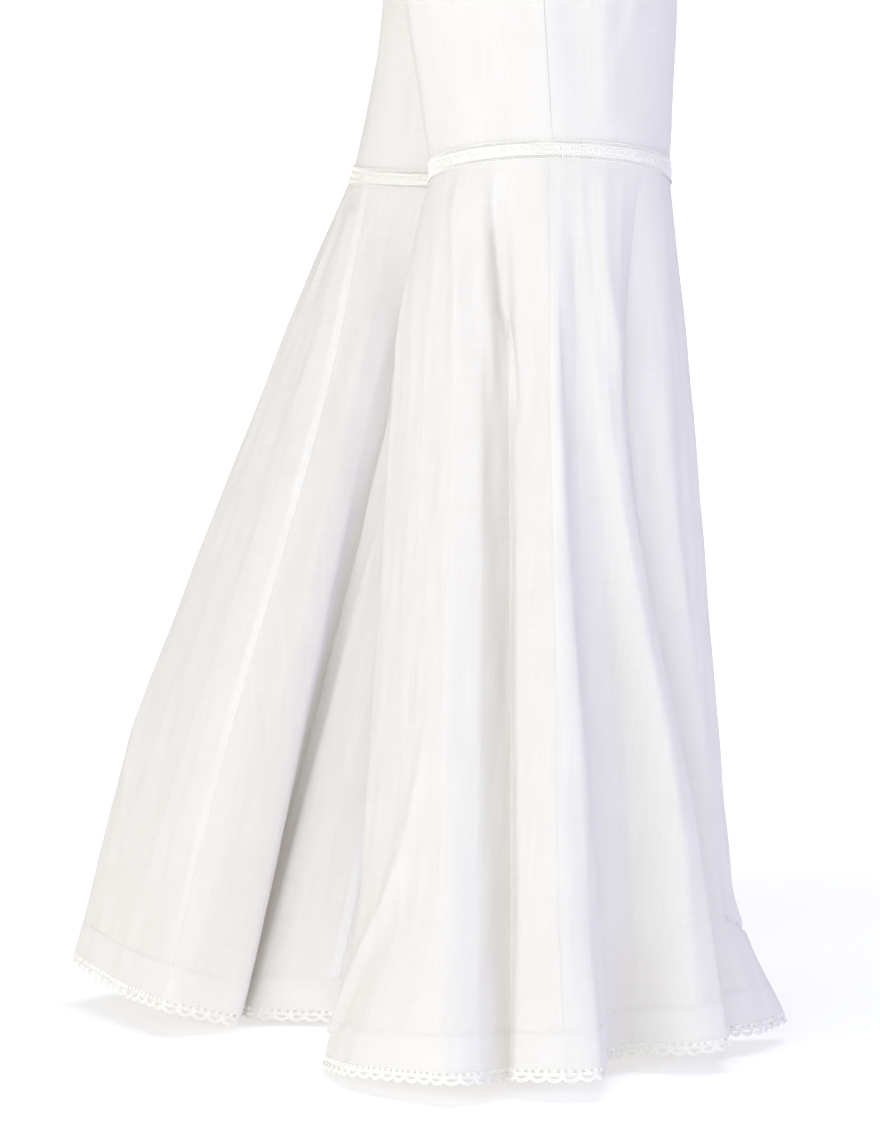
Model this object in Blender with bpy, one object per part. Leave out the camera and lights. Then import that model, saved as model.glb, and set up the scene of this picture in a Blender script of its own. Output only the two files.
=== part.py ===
"""A worn gharara: trousers that are close to the leg down to a seam at the knee and flare in gores below it.

Metres, +Z up. The origin is the middle of the waistband. The wearer faces -Y, so the right leg is at -X.
The left leg trails a little, so its flare swings towards +Y.
"""

import math
from collections import namedtuple

import bmesh
import bpy
from mathutils import Vector

# Walls and gaps
CLOTH = 0.0012
DOUBLED = 0.0016
LACE = 0.0010
SEAM_GAP = 0.0003

# Waist
WAISTBAND_HEIGHT = 0.040
CROTCH_HEIGHT = -0.285

# Knee seam
KNEE_HEIGHT = -0.484
KNEE_LACE_HEIGHT = 0.012

# Flare: every gore is as long as this down its own slope, with its hem band and lace
FLARE_LENGTH = 0.550
HEM_LEVEL = -1.024
HEM_BAND_HEIGHT = 0.024
HEM_LACE_HEIGHT = 0.012
HIGH = 0.20
LOW = 0.80

# How late the trailing thigh swings back, from 1 for evenly down from the crotch
THIGH_BEND = 1.6

# How much of a fold line's last slope is left at the hem, where the kicked-out cloth hangs straighter again
END_SLOPE = 0.6

# How finely the cloth is faceted
COLUMNS_A_FOLD_LINE = 3
PANEL_COLUMNS = 9
STEPS_ABOVE_CROTCH = 5
STEPS_BELOW_CROTCH = 3
WAISTBAND_COLUMNS = 32
GORE_LEVELS = (0.06, 0.20, 0.40, 0.60, 0.80, 0.88)

# Sections through an upper leg. Height of the section, then the leg's axis out from the middle of the body
# and back from the waist's, and the half width and half depth of the leg round it
UPPER_LEG = (
    # height, out, back, half width, half depth
    (0.020, 0.000, 0.000, 0.130, 0.096),
    (-0.020, 0.000, 0.001, 0.132, 0.098),
    (-0.080, 0.014, 0.007, 0.143, 0.111),
    (-0.180, 0.046, 0.016, 0.133, 0.122),
    (-0.285, 0.089, 0.018, 0.089, 0.109),
    (-0.380, 0.104, 0.006, 0.078, 0.0820),
    (-0.484, 0.115, 0.000, 0.070, 0.0715),
)

# Where each leg stands below the crotch: how far its axis lies behind the upper leg's at the knee and at the
# hem, and how much higher the knee seam's ring is on the outer side of the leg than halfway round
Leg = namedtuple("Leg", "side set_back_at_knee set_back_at_hem arch")
LEGS = {
    "right": Leg(side=-1, set_back_at_knee=0.000, set_back_at_hem=0.000, arch=0.0145),
    "left": Leg(side=1, set_back_at_knee=0.0515, set_back_at_hem=0.167, arch=0.004),
}

# Fold lines of a flare, in order round the leg from its outer side by the front. Each starts at an angle of
# the knee ring (0 outer side, 90 front, 180 inner side, 270 back) and runs through three places in mm from
# the leg's axis, forward and outward: a hand's breadth below the knee, three quarters down, and at the hem.
# A gore's seam runs down each line marked SEAM
SEAM = True
PLAIN = False
RIGHT_FOLDS = (
    # fold line, knee angle, high (forward, outward), low (forward, outward), hem (forward, outward), seam
    ("second lobe, seam", -2, (-1, 81), (3, 106), (8, 131), SEAM),
    ("second lobe, sharp edge", 3, (3, 82), (21, 97), (29, 124), PLAIN),
    ("behind the edge", 11, (13, 73), (28, 58), (34, 44), PLAIN),
    ("second valley", 18, (24, 70), (48, 34), (54, 26), PLAIN),
    ("third lobe, crest", 26, (32, 70), (80, 34), (86, 40), PLAIN),
    ("third lobe, edge", 35, (40, 64), (93, 22), (109, 26), PLAIN),
    ("front valley, seam", 48, (44, 48), (88, -8), (107, -16), SEAM),
    ("front lobe", 68, (68, 34), (104, -28), (132, -42), PLAIN),
    ("front lobe, edge", 92, (84, -4), (114, -52), (152, -88), PLAIN),
    ("inner front valley, seam", 118, (68, -38), (86, -74), (104, -82), SEAM),
    ("inner front lobe", 142, (50, -62), (62, -84), (72, -92), PLAIN),
    ("inner valley", 160, (28, -66), (32, -64), (38, -60), PLAIN),
    ("inner lobe, seam", 182, (2, -76), (0, -88), (2, -94), SEAM),
    ("inner back valley", 202, (-26, -68), (-32, -66), (-34, -60), PLAIN),
    ("inner back lobe", 222, (-50, -62), (-62, -82), (-72, -86), PLAIN),
    ("back valley, seam", 242, (-68, -38), (-82, -46), (-92, -40), SEAM),
    ("back lobe", 262, (-86, -16), (-106, -22), (-130, -18), PLAIN),
    ("back edge", 278, (-93, 6), (-115, 14), (-138, 30), PLAIN),
    ("first lobe, seam", 297, (-75, 43), (-91, 72), (-122, 87), SEAM),
    ("first lobe, crest", 314, (-58, 66), (-66, 112), (-66, 145), PLAIN),
    ("first lobe, shoulder", 326, (-42, 70), (-44, 107), (-43, 137), PLAIN),
    ("first valley", 334, (-26, 61), (-25, 86), (-26, 112), PLAIN),
    ("second lobe, left edge", 343, (-21, 69), (-20, 96), (-21, 121), PLAIN),
)
LEFT_FOLDS = (
    ("outer lobe, seam", 0, (2, 80), (4, 104), (6, 122), SEAM),
    ("outer front valley", 20, (28, 68), (34, 72), (38, 84), PLAIN),
    ("outer front lobe", 38, (54, 62), (74, 78), (84, 92), PLAIN),
    ("front valley, seam", 58, (66, 38), (86, 38), (98, 42), SEAM),
    ("front lobe", 78, (84, 16), (112, 14), (130, 18), PLAIN),
    ("front edge", 98, (86, -8), (114, -16), (132, -20), PLAIN),
    ("inner front valley, seam", 120, (66, -40), (82, -42), (94, -40), SEAM),
    ("second lobe, front edge", 140, (52, -58), (64, -74), (70, -86), PLAIN),
    ("second lobe, seam", 160, (28, -72), (30, -88), (28, -96), SEAM),
    ("second lobe, crest", 180, (10, -74), (8, -88), (4, -93), PLAIN),
    ("second lobe, left edge", 192, (-3, -72), (-15, -89), (-22, -93), PLAIN),
    ("deep valley", 204, (-19, -64), (-30, -69), (-36, -75), PLAIN),
    ("first lobe, right edge", 216, (-29, -71), (-26, -112), (-28, -116), PLAIN),
    ("first lobe, shoulder", 224, (-40, -74), (-44, -119), (-45, -126), PLAIN),
    ("first lobe, seam", 236, (-56, -70), (-73, -118), (-76, -136), SEAM),
    ("first lobe, back shoulder", 250, (-72, -52), (-100, -86), (-106, -84), PLAIN),
    ("back edge", 270, (-92, -6), (-137, -12), (-142, -4), PLAIN),
    ("outer back valley, seam", 294, (-72, 38), (-96, 44), (-100, 50), SEAM),
    ("outer back lobe", 318, (-54, 66), (-76, 88), (-84, 104), PLAIN),
    ("outer back dip", 338, (-26, 70), (-34, 80), (-36, 88), PLAIN),
)
FOLDS = {"right": RIGHT_FOLDS, "left": LEFT_FOLDS}

# Angle in degrees past which an edge is shaded sharp, and the step for measuring a surface's direction
SHARP_FROM = 50
NORMAL_STEP = 0.002

# Finish
ROUGHNESS = 0.85
IVORY = (0.90, 0.89, 0.86, 1.0)
IVORY_LACE = (0.91, 0.90, 0.86, 1.0)


# Curves
def through_four(before, start, end, after, at):
    """Catmull-Rom: a smooth step from start to end, at 0 to 1, that knows its neighbours."""
    return 0.5 * (
        2 * start
        + (end - before) * at
        + (2 * before - 5 * start + 4 * end - after) * at**2
        + (3 * start - before - 3 * end + after) * at**3
    )


def through_stations(stations, at):
    """A smooth value at the place at, through (place, value) pairs in rising order, that never overshoots
    them. It leaves each station at the gentler of the slopes beside it."""
    places = [place for place, _ in stations]
    values = [value for _, value in stations]
    rises = [(values[i + 1] - values[i]) / (places[i + 1] - places[i]) for i in range(len(places) - 1)]
    slopes = [rises[0]]
    for before, after in zip(rises, rises[1:]):
        slopes.append(min(before, after, key=abs) if before * after > 0 else 0.0)
    slopes.append(rises[-1] * END_SLOPE)
    at = min(max(at, places[0]), places[-1])
    i = max(k for k in range(len(places) - 1) if places[k] <= at)
    span = places[i + 1] - places[i]
    t = (at - places[i]) / span
    return (
        (2 * t**3 - 3 * t**2 + 1) * values[i]
        + (t**3 - 2 * t**2 + t) * span * slopes[i]
        + (3 * t**2 - 2 * t**3) * values[i + 1]
        + (t**3 - t**2) * span * slopes[i + 1]
    )


# Upper leg
def knee_rise(leg, angle):
    return LEGS[leg].arch * math.cos(math.radians(angle))


def upper_leg_section(leg, height):
    """The leg's axis (out, back), half width and half depth at a height."""
    rows = sorted(UPPER_LEG)
    out, back, width, depth = (
        through_stations([(row[0], row[column]) for row in rows], height) for column in (1, 2, 3, 4)
    )
    below_crotch = max(0.0, (CROTCH_HEIGHT - height) / (CROTCH_HEIGHT - KNEE_HEIGHT))
    return out, back + LEGS[leg].set_back_at_knee * below_crotch**THIGH_BEND, width, depth


def last_angle(leg, height):
    """How far round from the outer side the leg's ring runs before it meets the other leg's, or 180 below the
    crotch."""
    out, _, width, _ = upper_leg_section(leg, height)
    return 180.0 if height <= CROTCH_HEIGHT or out >= width else math.degrees(math.acos(-out / width))


def upper_leg_point(leg, angle, height):
    """A point of the upper leg's middle surface. Near the knee, heights follow the arch of the seam."""
    out, back, width, depth = upper_leg_section(leg, height)
    turn = math.radians(angle)
    nearness = max(0.0, (height - CROTCH_HEIGHT) / (KNEE_HEIGHT - CROTCH_HEIGHT))
    side = LEGS[leg].side
    return Vector(
        (
            side * (out + width * math.cos(turn)),
            back - depth * math.sin(turn),
            height + nearness * knee_rise(leg, angle),
        )
    )


# Flare
def fold_line_point(leg, index, down):
    """Where a fold line passes, down 0 at the knee seam to 1 at the hem: forward and outward of the leg's
    axis, and the height. The slope's length sets how far the hem hangs, and a line that would hang below the
    level of the hem is cut shorter."""
    folds = FOLDS[leg]
    _, angle, *places, _ = folds[index % len(folds)]
    turn = math.radians(angle)
    _, _, width, depth = upper_leg_section(leg, KNEE_HEIGHT)
    set_back = LEGS[leg].set_back_at_hem - LEGS[leg].set_back_at_knee
    stations = [(0.0, depth * math.sin(turn), width * math.cos(turn), KNEE_HEIGHT + knee_rise(leg, angle))]
    for station, (forward, outward) in zip((HIGH, LOW, 1.0), places):
        above, forward_above, outward_above, height_above = stations[-1]
        forward, outward = forward / 1000, outward / 1000
        share = station - above
        reach = math.hypot(forward - forward_above - set_back * share, outward - outward_above)
        drop = math.sqrt((FLARE_LENGTH * share) ** 2 - reach**2)
        stations.append((station, forward, outward, height_above - drop))
    knee = stations[0][3]
    shortened = min(1.0, (knee - HEM_LEVEL) / (knee - stations[-1][3]))
    stations = [(*row[:3], knee + (row[3] - knee) * shortened) for row in stations]
    return Vector([through_stations([(row[0], row[axis]) for row in stations], down) for axis in (1, 2, 3)])


def knee_angle(leg, place):
    """The angle round the knee ring at which a place of the ring lies."""
    out, back, width, depth = upper_leg_section(leg, KNEE_HEIGHT)
    outward = LEGS[leg].side * place.x - out
    return math.degrees(math.atan2((back - place.y) / depth, outward / width))


def flare_point(leg, along, down):
    """A point of the flare's middle surface. along counts fold lines round the leg."""
    index = math.floor(along)
    near = [fold_line_point(leg, index + step, down) for step in (-1, 0, 1, 2)]
    forward, outward, height = through_four(*near, along - index)
    axis_out, axis_back, _, _ = upper_leg_section(leg, KNEE_HEIGHT)
    back = axis_back + (LEGS[leg].set_back_at_hem - LEGS[leg].set_back_at_knee) * down
    return Vector((LEGS[leg].side * (axis_out + outward), back - forward, height))


# Walls
def grid_normals(surface, alongs, downs, step):
    """The direction across the cloth at each place of a surface(along, down)."""
    normals = []
    for down in downs:
        row = []
        for along in alongs:
            across = surface(along + step, down) - surface(along - step, down)
            lower = surface(along, down + step) - surface(along, down - step)
            row.append(across.cross(lower).normalized())
        normals.append(row)
    return normals


def wall(name, points, normals, thickness, closed, material, limit=None):
    """A solid wall on a grid of points, half its thickness to each side. A closed wall joins its last column
    to its first, and limit may move a corner."""
    mesh = bmesh.new()
    layers = []
    for offset in (thickness / 2, -thickness / 2):
        layer = []
        for row, directions in zip(points, normals):
            placed = [point + direction * offset for point, direction in zip(row, directions)]
            layer.append([mesh.verts.new(limit(place) if limit else place) for place in placed])
        layers.append(layer)
    outer, inner = layers
    rows, columns = len(points), len(points[0])
    spans = columns if closed else columns - 1
    for i in range(rows - 1):
        for j in range(spans):
            k = (j + 1) % columns
            mesh.faces.new((outer[i][j], outer[i][k], outer[i + 1][k], outer[i + 1][j]))
            mesh.faces.new((inner[i][j], inner[i + 1][j], inner[i + 1][k], inner[i][k]))
    for j in range(spans):
        k = (j + 1) % columns
        mesh.faces.new((outer[0][k], outer[0][j], inner[0][j], inner[0][k]))
        mesh.faces.new((outer[-1][j], outer[-1][k], inner[-1][k], inner[-1][j]))
    if not closed:
        for i in range(rows - 1):
            mesh.faces.new((outer[i][0], outer[i + 1][0], inner[i + 1][0], inner[i][0]))
            mesh.faces.new((outer[i + 1][-1], outer[i][-1], inner[i][-1], inner[i + 1][-1]))
    bmesh.ops.triangulate(mesh, faces=mesh.faces)
    if mesh.calc_volume(signed=True) < 0:
        bmesh.ops.reverse_faces(mesh, faces=mesh.faces)
    data = bpy.data.meshes.new(name)
    mesh.to_mesh(data)
    mesh.free()
    data.shade_smooth()
    data.set_sharp_from_angle(angle=math.radians(SHARP_FROM))
    data.materials.append(material)
    body = bpy.data.objects.new(name, data)
    bpy.context.collection.objects.link(body)
    return body


def cloth_material(name, colour, roughness):
    material = bpy.data.materials.new(name)
    material.use_nodes = True
    shader = material.node_tree.nodes["Principled BSDF"]
    shader.inputs["Base Color"].default_value = colour
    shader.inputs["Roughness"].default_value = roughness
    shader.inputs["Metallic"].default_value = 0.0
    return material


# Pieces
def waistband():
    """A ring of doubled cloth round the waist, the origin at its middle."""
    points, normals = [], []
    for height in (WAISTBAND_HEIGHT / 2, -WAISTBAND_HEIGHT / 2):
        _, back, width, depth = upper_leg_section("right", height)
        ring, directions = [], []
        for column in range(WAISTBAND_COLUMNS):
            turn = math.tau * column / WAISTBAND_COLUMNS
            ring.append(Vector((width * math.cos(turn), back + depth * math.sin(turn), height)))
            directions.append(Vector((math.cos(turn) / width, math.sin(turn) / depth, 0.0)).normalized())
        points.append(ring)
        normals.append(directions)
    wall("waistband", points, normals, DOUBLED, True, cloth_material("waistband cotton", IVORY, ROUGHNESS))


def upper_panel(leg, front):
    """The front or back of one leg, from under the waistband to the knee seam. Its edges are the side seam,
    the middle seam above the crotch and the inseam below it."""
    side = LEGS[leg].side
    top = -WAISTBAND_HEIGHT / 2 - SEAM_GAP
    bottom = KNEE_HEIGHT + SEAM_GAP / 2
    # Closer together near the crotch, where the middle seam curves most
    above = [
        top + (CROTCH_HEIGHT - top) * (1 - (1 - step / STEPS_ABOVE_CROTCH) ** 2)
        for step in range(STEPS_ABOVE_CROTCH)
    ]
    lace_top = KNEE_HEIGHT + KNEE_LACE_HEIGHT / 2
    thigh = lace_top - CROTCH_HEIGHT
    below = [
        CROTCH_HEIGHT + thigh * step / STEPS_BELOW_CROTCH
        for step in range(STEPS_BELOW_CROTCH + 1)
    ]
    way = 1 if front else -1

    points, normals = [], []
    for height in above + below + [bottom]:
        round_leg = last_angle(leg, height)
        _, _, width, depth = upper_leg_section(leg, height)
        trim = math.degrees(SEAM_GAP / 2 / depth)
        row, directions = [], []
        for column in range(PANEL_COLUMNS):
            share = column / (PANEL_COLUMNS - 1)
            angle = trim + share * (round_leg - 2 * trim)
            turn = math.radians(way * angle)
            row.append(upper_leg_point(leg, way * angle, height))
            outward = Vector((side * math.cos(turn) / width, -math.sin(turn) / depth, 0.0))
            directions.append(outward.normalized())
        points.append(row)
        normals.append(directions)

    def own_side(place):
        """Keeps the wall on its own side of the body's middle."""
        place.x = side * max(side * place.x, SEAM_GAP / 2)
        return place

    name = f"{leg}_{'front' if front else 'back'}"
    cotton = cloth_material(f"{name} cotton", IVORY, ROUGHNESS)
    wall(name, points, normals, CLOTH, False, cotton, limit=own_side)


def flare_columns(first, last):
    """Places along the fold lines from first to last, evenly spaced between them."""
    steps = (last - first) * COLUMNS_A_FOLD_LINE
    return [first + step / COLUMNS_A_FOLD_LINE for step in range(steps + 1)]


def flare_wall(name, leg, alongs, downs, thickness, closed, colour, trim=0.0):
    """A wall on the flare's surface. trim draws its side edges in."""

    def surface(along, down):
        return flare_point(leg, along, down)

    points = []
    for down in downs:
        row = [surface(along, down) for along in alongs]
        if trim:
            row[0] = row[0] + (row[1] - row[0]).normalized() * trim
            row[-1] = row[-1] + (row[-2] - row[-1]).normalized() * trim
        points.append(row)
    normals = grid_normals(surface, alongs, downs, NORMAL_STEP)
    wall(name, points, normals, thickness, closed, cloth_material(f"{name} cotton", colour, ROUGHNESS))


def flare(leg):
    """The gores, hem band and hem lace of one leg."""
    folds = FOLDS[leg]
    seams = [index for index, fold in enumerate(folds) if fold[-1]]
    gap = SEAM_GAP / 2 / FLARE_LENGTH
    band_top = 1 - (HEM_BAND_HEIGHT + HEM_LACE_HEIGHT) / FLARE_LENGTH
    lace_top = 1 - HEM_LACE_HEIGHT / FLARE_LENGTH
    gore_levels = [gap, *GORE_LEVELS, band_top - gap]
    for number, (first, last) in enumerate(zip(seams, seams[1:] + [seams[0] + len(folds)]), start=1):
        alongs = flare_columns(first, last)
        flare_wall(f"{leg}_gore_{number}", leg, alongs, gore_levels, CLOTH, False, IVORY, trim=SEAM_GAP / 2)
    ring = flare_columns(0, len(folds))[:-1]
    flare_wall(f"{leg}_hem_band", leg, ring, [band_top + gap, lace_top - gap], DOUBLED, True, IVORY)
    flare_wall(f"{leg}_hem_lace", leg, ring, [lace_top + gap, 1.0], LACE, True, IVORY_LACE)


def knee_lace(leg):
    """A narrow ring of lace over the knee seam, made from the points of the panels above and below it, moved
    out."""
    folds = FOLDS[leg]
    side = LEGS[leg].side
    lift = CLOTH / 2 + SEAM_GAP + LACE / 2
    alongs = flare_columns(0, len(folds))[:-1]
    half = KNEE_LACE_HEIGHT / 2
    points, normals = [], []
    for height in (half, 0.0, -half):
        down = max(0.0, -height) / FLARE_LENGTH
        row, directions = [], []
        for along in alongs:
            point = flare_point(leg, along, down)
            before = flare_point(leg, along - NORMAL_STEP, down)
            across = flare_point(leg, along + NORMAL_STEP, down) - before
            direction = Vector((-across.y, across.x, 0.0)).normalized()
            if height >= 0:
                point = upper_leg_point(leg, knee_angle(leg, point), KNEE_HEIGHT + height)
            row.append(point + direction * (side * lift))
            directions.append(direction)
        points.append(row)
        normals.append(directions)
    name = f"{leg}_knee_lace"
    wall(name, points, normals, LACE, True, cloth_material(f"{name} cotton", IVORY_LACE, ROUGHNESS))


def main():
    for item in list(bpy.data.objects):
        bpy.data.objects.remove(item)
    waistband()
    for leg in LEGS:
        upper_panel(leg, front=True)
        upper_panel(leg, front=False)
        knee_lace(leg)
        flare(leg)


main()
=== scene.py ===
# %% [markdown]
# A worn gharara in fine white cotton. The upper legs sit close down to a seam at the knee, and six gores below each
# seam widen into a flare that hangs in soft folds to a doubled hem band and a scalloped lace edging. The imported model
# gives every piece its place and size. This script gives each piece its looks, as thin shells of cloth on the forms
# of those solids, and lace worked from looped yarn.

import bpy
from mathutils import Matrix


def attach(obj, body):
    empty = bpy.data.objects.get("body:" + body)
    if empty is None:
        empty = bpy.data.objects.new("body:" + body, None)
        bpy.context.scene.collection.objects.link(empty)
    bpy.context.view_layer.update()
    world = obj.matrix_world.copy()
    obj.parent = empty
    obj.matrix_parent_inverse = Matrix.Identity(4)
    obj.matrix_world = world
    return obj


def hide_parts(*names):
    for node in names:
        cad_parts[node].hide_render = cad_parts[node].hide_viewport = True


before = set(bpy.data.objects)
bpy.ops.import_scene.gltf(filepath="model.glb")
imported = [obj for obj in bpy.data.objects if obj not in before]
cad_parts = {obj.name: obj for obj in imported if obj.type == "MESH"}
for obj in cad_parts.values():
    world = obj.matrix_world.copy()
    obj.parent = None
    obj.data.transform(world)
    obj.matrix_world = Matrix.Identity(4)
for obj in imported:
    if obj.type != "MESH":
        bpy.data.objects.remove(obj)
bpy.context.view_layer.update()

# %% Modules
import math
import time
from collections import namedtuple

import bpy
import numpy as np
from mathutils import Vector

started = time.time()

# %% [markdown]
# The cut. Cloth that hangs in folds follows a few lines: the crest of each fold, its edges and the bottom of each
# valley. A row below is one such line, with the angle where it leaves the knee seam and three places on its way to
# the hem. A smooth curve through the lines at one height is the cloth's section there. The same rows make the plain
# solids, so the shells made here lie on them.

# %% Sizes of the cut, in metres
WAISTBAND_HEIGHT = 0.040
CROTCH_HEIGHT = -0.285
KNEE_HEIGHT = -0.484
KNEE_LACE_HEIGHT = 0.012
FLARE_LENGTH = 0.550
HEM_BAND_HEIGHT = 0.024
HEM_LACE_HEIGHT = 0.012
HEM_LEVEL = -1.024
BAND_TOP = 1 - (HEM_BAND_HEIGHT + HEM_LACE_HEIGHT) / FLARE_LENGTH
LACE_TOP = 1 - HEM_LACE_HEIGHT / FLARE_LENGTH
HIGH = 0.20
LOW = 0.80
THIGH_BEND = 1.6
END_SLOPE = 0.6

UPPER_LEG = (
    # height, out, back, half width, half depth
    (0.020, 0.000, 0.000, 0.130, 0.096),
    (-0.020, 0.000, 0.001, 0.132, 0.098),
    (-0.080, 0.014, 0.007, 0.143, 0.111),
    (-0.180, 0.046, 0.016, 0.133, 0.122),
    (-0.285, 0.089, 0.018, 0.089, 0.109),
    (-0.380, 0.104, 0.006, 0.078, 0.0820),
    (-0.484, 0.115, 0.000, 0.070, 0.0715),
)

Leg = namedtuple("Leg", "side set_back_at_knee set_back_at_hem arch")
LEGS = {
    "right": Leg(side=-1, set_back_at_knee=0.000, set_back_at_hem=0.000, arch=0.0145),
    "left": Leg(side=1, set_back_at_knee=0.0515, set_back_at_hem=0.167, arch=0.004),
}

# %% Fold lines of the flares
# Angle on the knee ring (0 outer side, 90 front, 180 inner side, 270 back), then forward and outward of the leg's
# axis in mm at three places down the line, and whether a gore's seam runs down it
SEAM = True
PLAIN = False
FOLDS = {
    "right": (
        # fold line, knee angle, high (forward, outward), low (forward, outward), hem (forward, outward), seam
        ("second lobe, seam", -2, (-1, 81), (3, 106), (8, 131), SEAM),
        ("second lobe, sharp edge", 3, (3, 82), (21, 97), (29, 124), PLAIN),
        ("behind the edge", 11, (13, 73), (28, 58), (34, 44), PLAIN),
        ("second valley", 18, (24, 70), (48, 34), (54, 26), PLAIN),
        ("third lobe, crest", 26, (32, 70), (80, 34), (86, 40), PLAIN),
        ("third lobe, edge", 35, (40, 64), (93, 22), (109, 26), PLAIN),
        ("front valley, seam", 48, (44, 48), (88, -8), (107, -16), SEAM),
        ("front lobe", 68, (68, 34), (104, -28), (132, -42), PLAIN),
        ("front lobe, edge", 92, (84, -4), (114, -52), (152, -88), PLAIN),
        ("inner front valley, seam", 118, (68, -38), (86, -74), (104, -82), SEAM),
        ("inner front lobe", 142, (50, -62), (62, -84), (72, -92), PLAIN),
        ("inner valley", 160, (28, -66), (32, -64), (38, -60), PLAIN),
        ("inner lobe, seam", 182, (2, -76), (0, -88), (2, -94), SEAM),
        ("inner back valley", 202, (-26, -68), (-32, -66), (-34, -60), PLAIN),
        ("inner back lobe", 222, (-50, -62), (-62, -82), (-72, -86), PLAIN),
        ("back valley, seam", 242, (-68, -38), (-82, -46), (-92, -40), SEAM),
        ("back lobe", 262, (-86, -16), (-106, -22), (-130, -18), PLAIN),
        ("back edge", 278, (-93, 6), (-115, 14), (-138, 30), PLAIN),
        ("first lobe, seam", 297, (-75, 43), (-91, 72), (-122, 87), SEAM),
        ("first lobe, crest", 314, (-58, 66), (-66, 112), (-66, 145), PLAIN),
        ("first lobe, shoulder", 326, (-42, 70), (-44, 107), (-43, 137), PLAIN),
        ("first valley", 334, (-26, 61), (-25, 86), (-26, 112), PLAIN),
        ("second lobe, left edge", 343, (-21, 69), (-20, 96), (-21, 121), PLAIN),
    ),
    "left": (
        ("outer lobe, seam", 0, (2, 80), (4, 104), (6, 122), SEAM),
        ("outer front valley", 20, (28, 68), (34, 72), (38, 84), PLAIN),
        ("outer front lobe", 38, (54, 62), (74, 78), (84, 92), PLAIN),
        ("front valley, seam", 58, (66, 38), (86, 38), (98, 42), SEAM),
        ("front lobe", 78, (84, 16), (112, 14), (130, 18), PLAIN),
        ("front edge", 98, (86, -8), (114, -16), (132, -20), PLAIN),
        ("inner front valley, seam", 120, (66, -40), (82, -42), (94, -40), SEAM),
        ("second lobe, front edge", 140, (52, -58), (64, -74), (70, -86), PLAIN),
        ("second lobe, seam", 160, (28, -72), (30, -88), (28, -96), SEAM),
        ("second lobe, crest", 180, (10, -74), (8, -88), (4, -93), PLAIN),
        ("second lobe, left edge", 192, (-3, -72), (-15, -89), (-22, -93), PLAIN),
        ("deep valley", 204, (-19, -64), (-30, -69), (-36, -75), PLAIN),
        ("first lobe, right edge", 216, (-29, -71), (-26, -112), (-28, -116), PLAIN),
        ("first lobe, shoulder", 224, (-40, -74), (-44, -119), (-45, -126), PLAIN),
        ("first lobe, seam", 236, (-56, -70), (-73, -118), (-76, -136), SEAM),
        ("first lobe, back shoulder", 250, (-72, -52), (-100, -86), (-106, -84), PLAIN),
        ("back edge", 270, (-92, -6), (-137, -12), (-142, -4), PLAIN),
        ("outer back valley, seam", 294, (-72, 38), (-96, 44), (-100, 50), SEAM),
        ("outer back lobe", 318, (-54, 66), (-76, 88), (-84, 104), PLAIN),
        ("outer back dip", 338, (-26, 70), (-34, 80), (-36, 88), PLAIN),
    ),
}
print("fold lines", {leg: len(folds) for leg, folds in FOLDS.items()})

# %% [markdown]
# The camera comes first, because every later choice is judged through it. A long lens from about three metres, at
# knee height and tipped down a little, shows the near leg and the trailing one behind it without stretching either.
# The picture is taken from the garment's right side and stops at mid thigh.

# %% Camera
EYE = Vector((-3.115, 0.0665, -0.490))
TIPPED_DOWN = math.radians(4.4)
LENS = 158

lens = bpy.data.cameras.new("side view")
lens.lens = LENS
lens.sensor_width = 36
camera = bpy.data.objects.new("side view", lens)
bpy.context.collection.objects.link(camera)
camera.location = EYE
looking = Vector((math.cos(TIPPED_DOWN), 0.0, -math.sin(TIPPED_DOWN)))
camera.rotation_euler = looking.to_track_quat("-Z", "Y").to_euler()
bpy.context.scene.camera = camera
print("camera at", tuple(round(part, 3) for part in EYE), "lens", LENS, "mm")

# %% [markdown]
# White cloth on white needs light from all round, or its folds go grey. The room itself gives some of it, as a white
# tent does in a studio. A broad light near the camera keeps the folds that face it almost white, a warm one from
# behind warms the trailing leg, and the front of the garment stays in cool shade. The floor is a wide plain disc
# whose rim curves up into a low wall.

# %% Stage
FLOOR = -1.027
FLOOR_RADIUS = 9.0
COVE_RADIUS = 1.5
WALL_TOP = 2.6
STAGE_SIDES = 96
COVE_STEPS = 8

profile = [(radius, FLOOR) for radius in (0.3, 1.0, 3.0, FLOOR_RADIUS)]
for step in range(1, COVE_STEPS + 1):
    turn = math.radians(90 * step / COVE_STEPS)
    profile.append((FLOOR_RADIUS + COVE_RADIUS * math.sin(turn), FLOOR + COVE_RADIUS * (1 - math.cos(turn))))
profile.append((FLOOR_RADIUS + COVE_RADIUS, WALL_TOP))
corners = [(0.0, 0.0, FLOOR)]
faces = []
for radius, height in profile:
    for turn in np.linspace(0, 2 * math.pi, STAGE_SIDES, endpoint=False):
        corners.append((radius * math.cos(turn), radius * math.sin(turn), height))
for side in range(STAGE_SIDES):
    after = (side + 1) % STAGE_SIDES
    faces.append((0, 1 + side, 1 + after))
    for ring in range(len(profile) - 1):
        inner, outer = 1 + ring * STAGE_SIDES, 1 + (ring + 1) * STAGE_SIDES
        faces.append((inner + side, outer + side, outer + after, inner + after))
mesh = bpy.data.meshes.new("floor")
mesh.from_pydata(corners, [], faces)
mesh.shade_smooth()
floor = bpy.data.objects.new("floor", mesh)
bpy.context.collection.objects.link(floor)
print("floor", len(faces), "faces")

# %% [markdown]
# Lamps. The key lamp stands near the camera, with a plain white one further left. The warm lamp is at the back of the
# garment. The cool one is in front, and gives the front of the leading leg its lilac shade. The lamp above evens out
# the rest.

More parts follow.
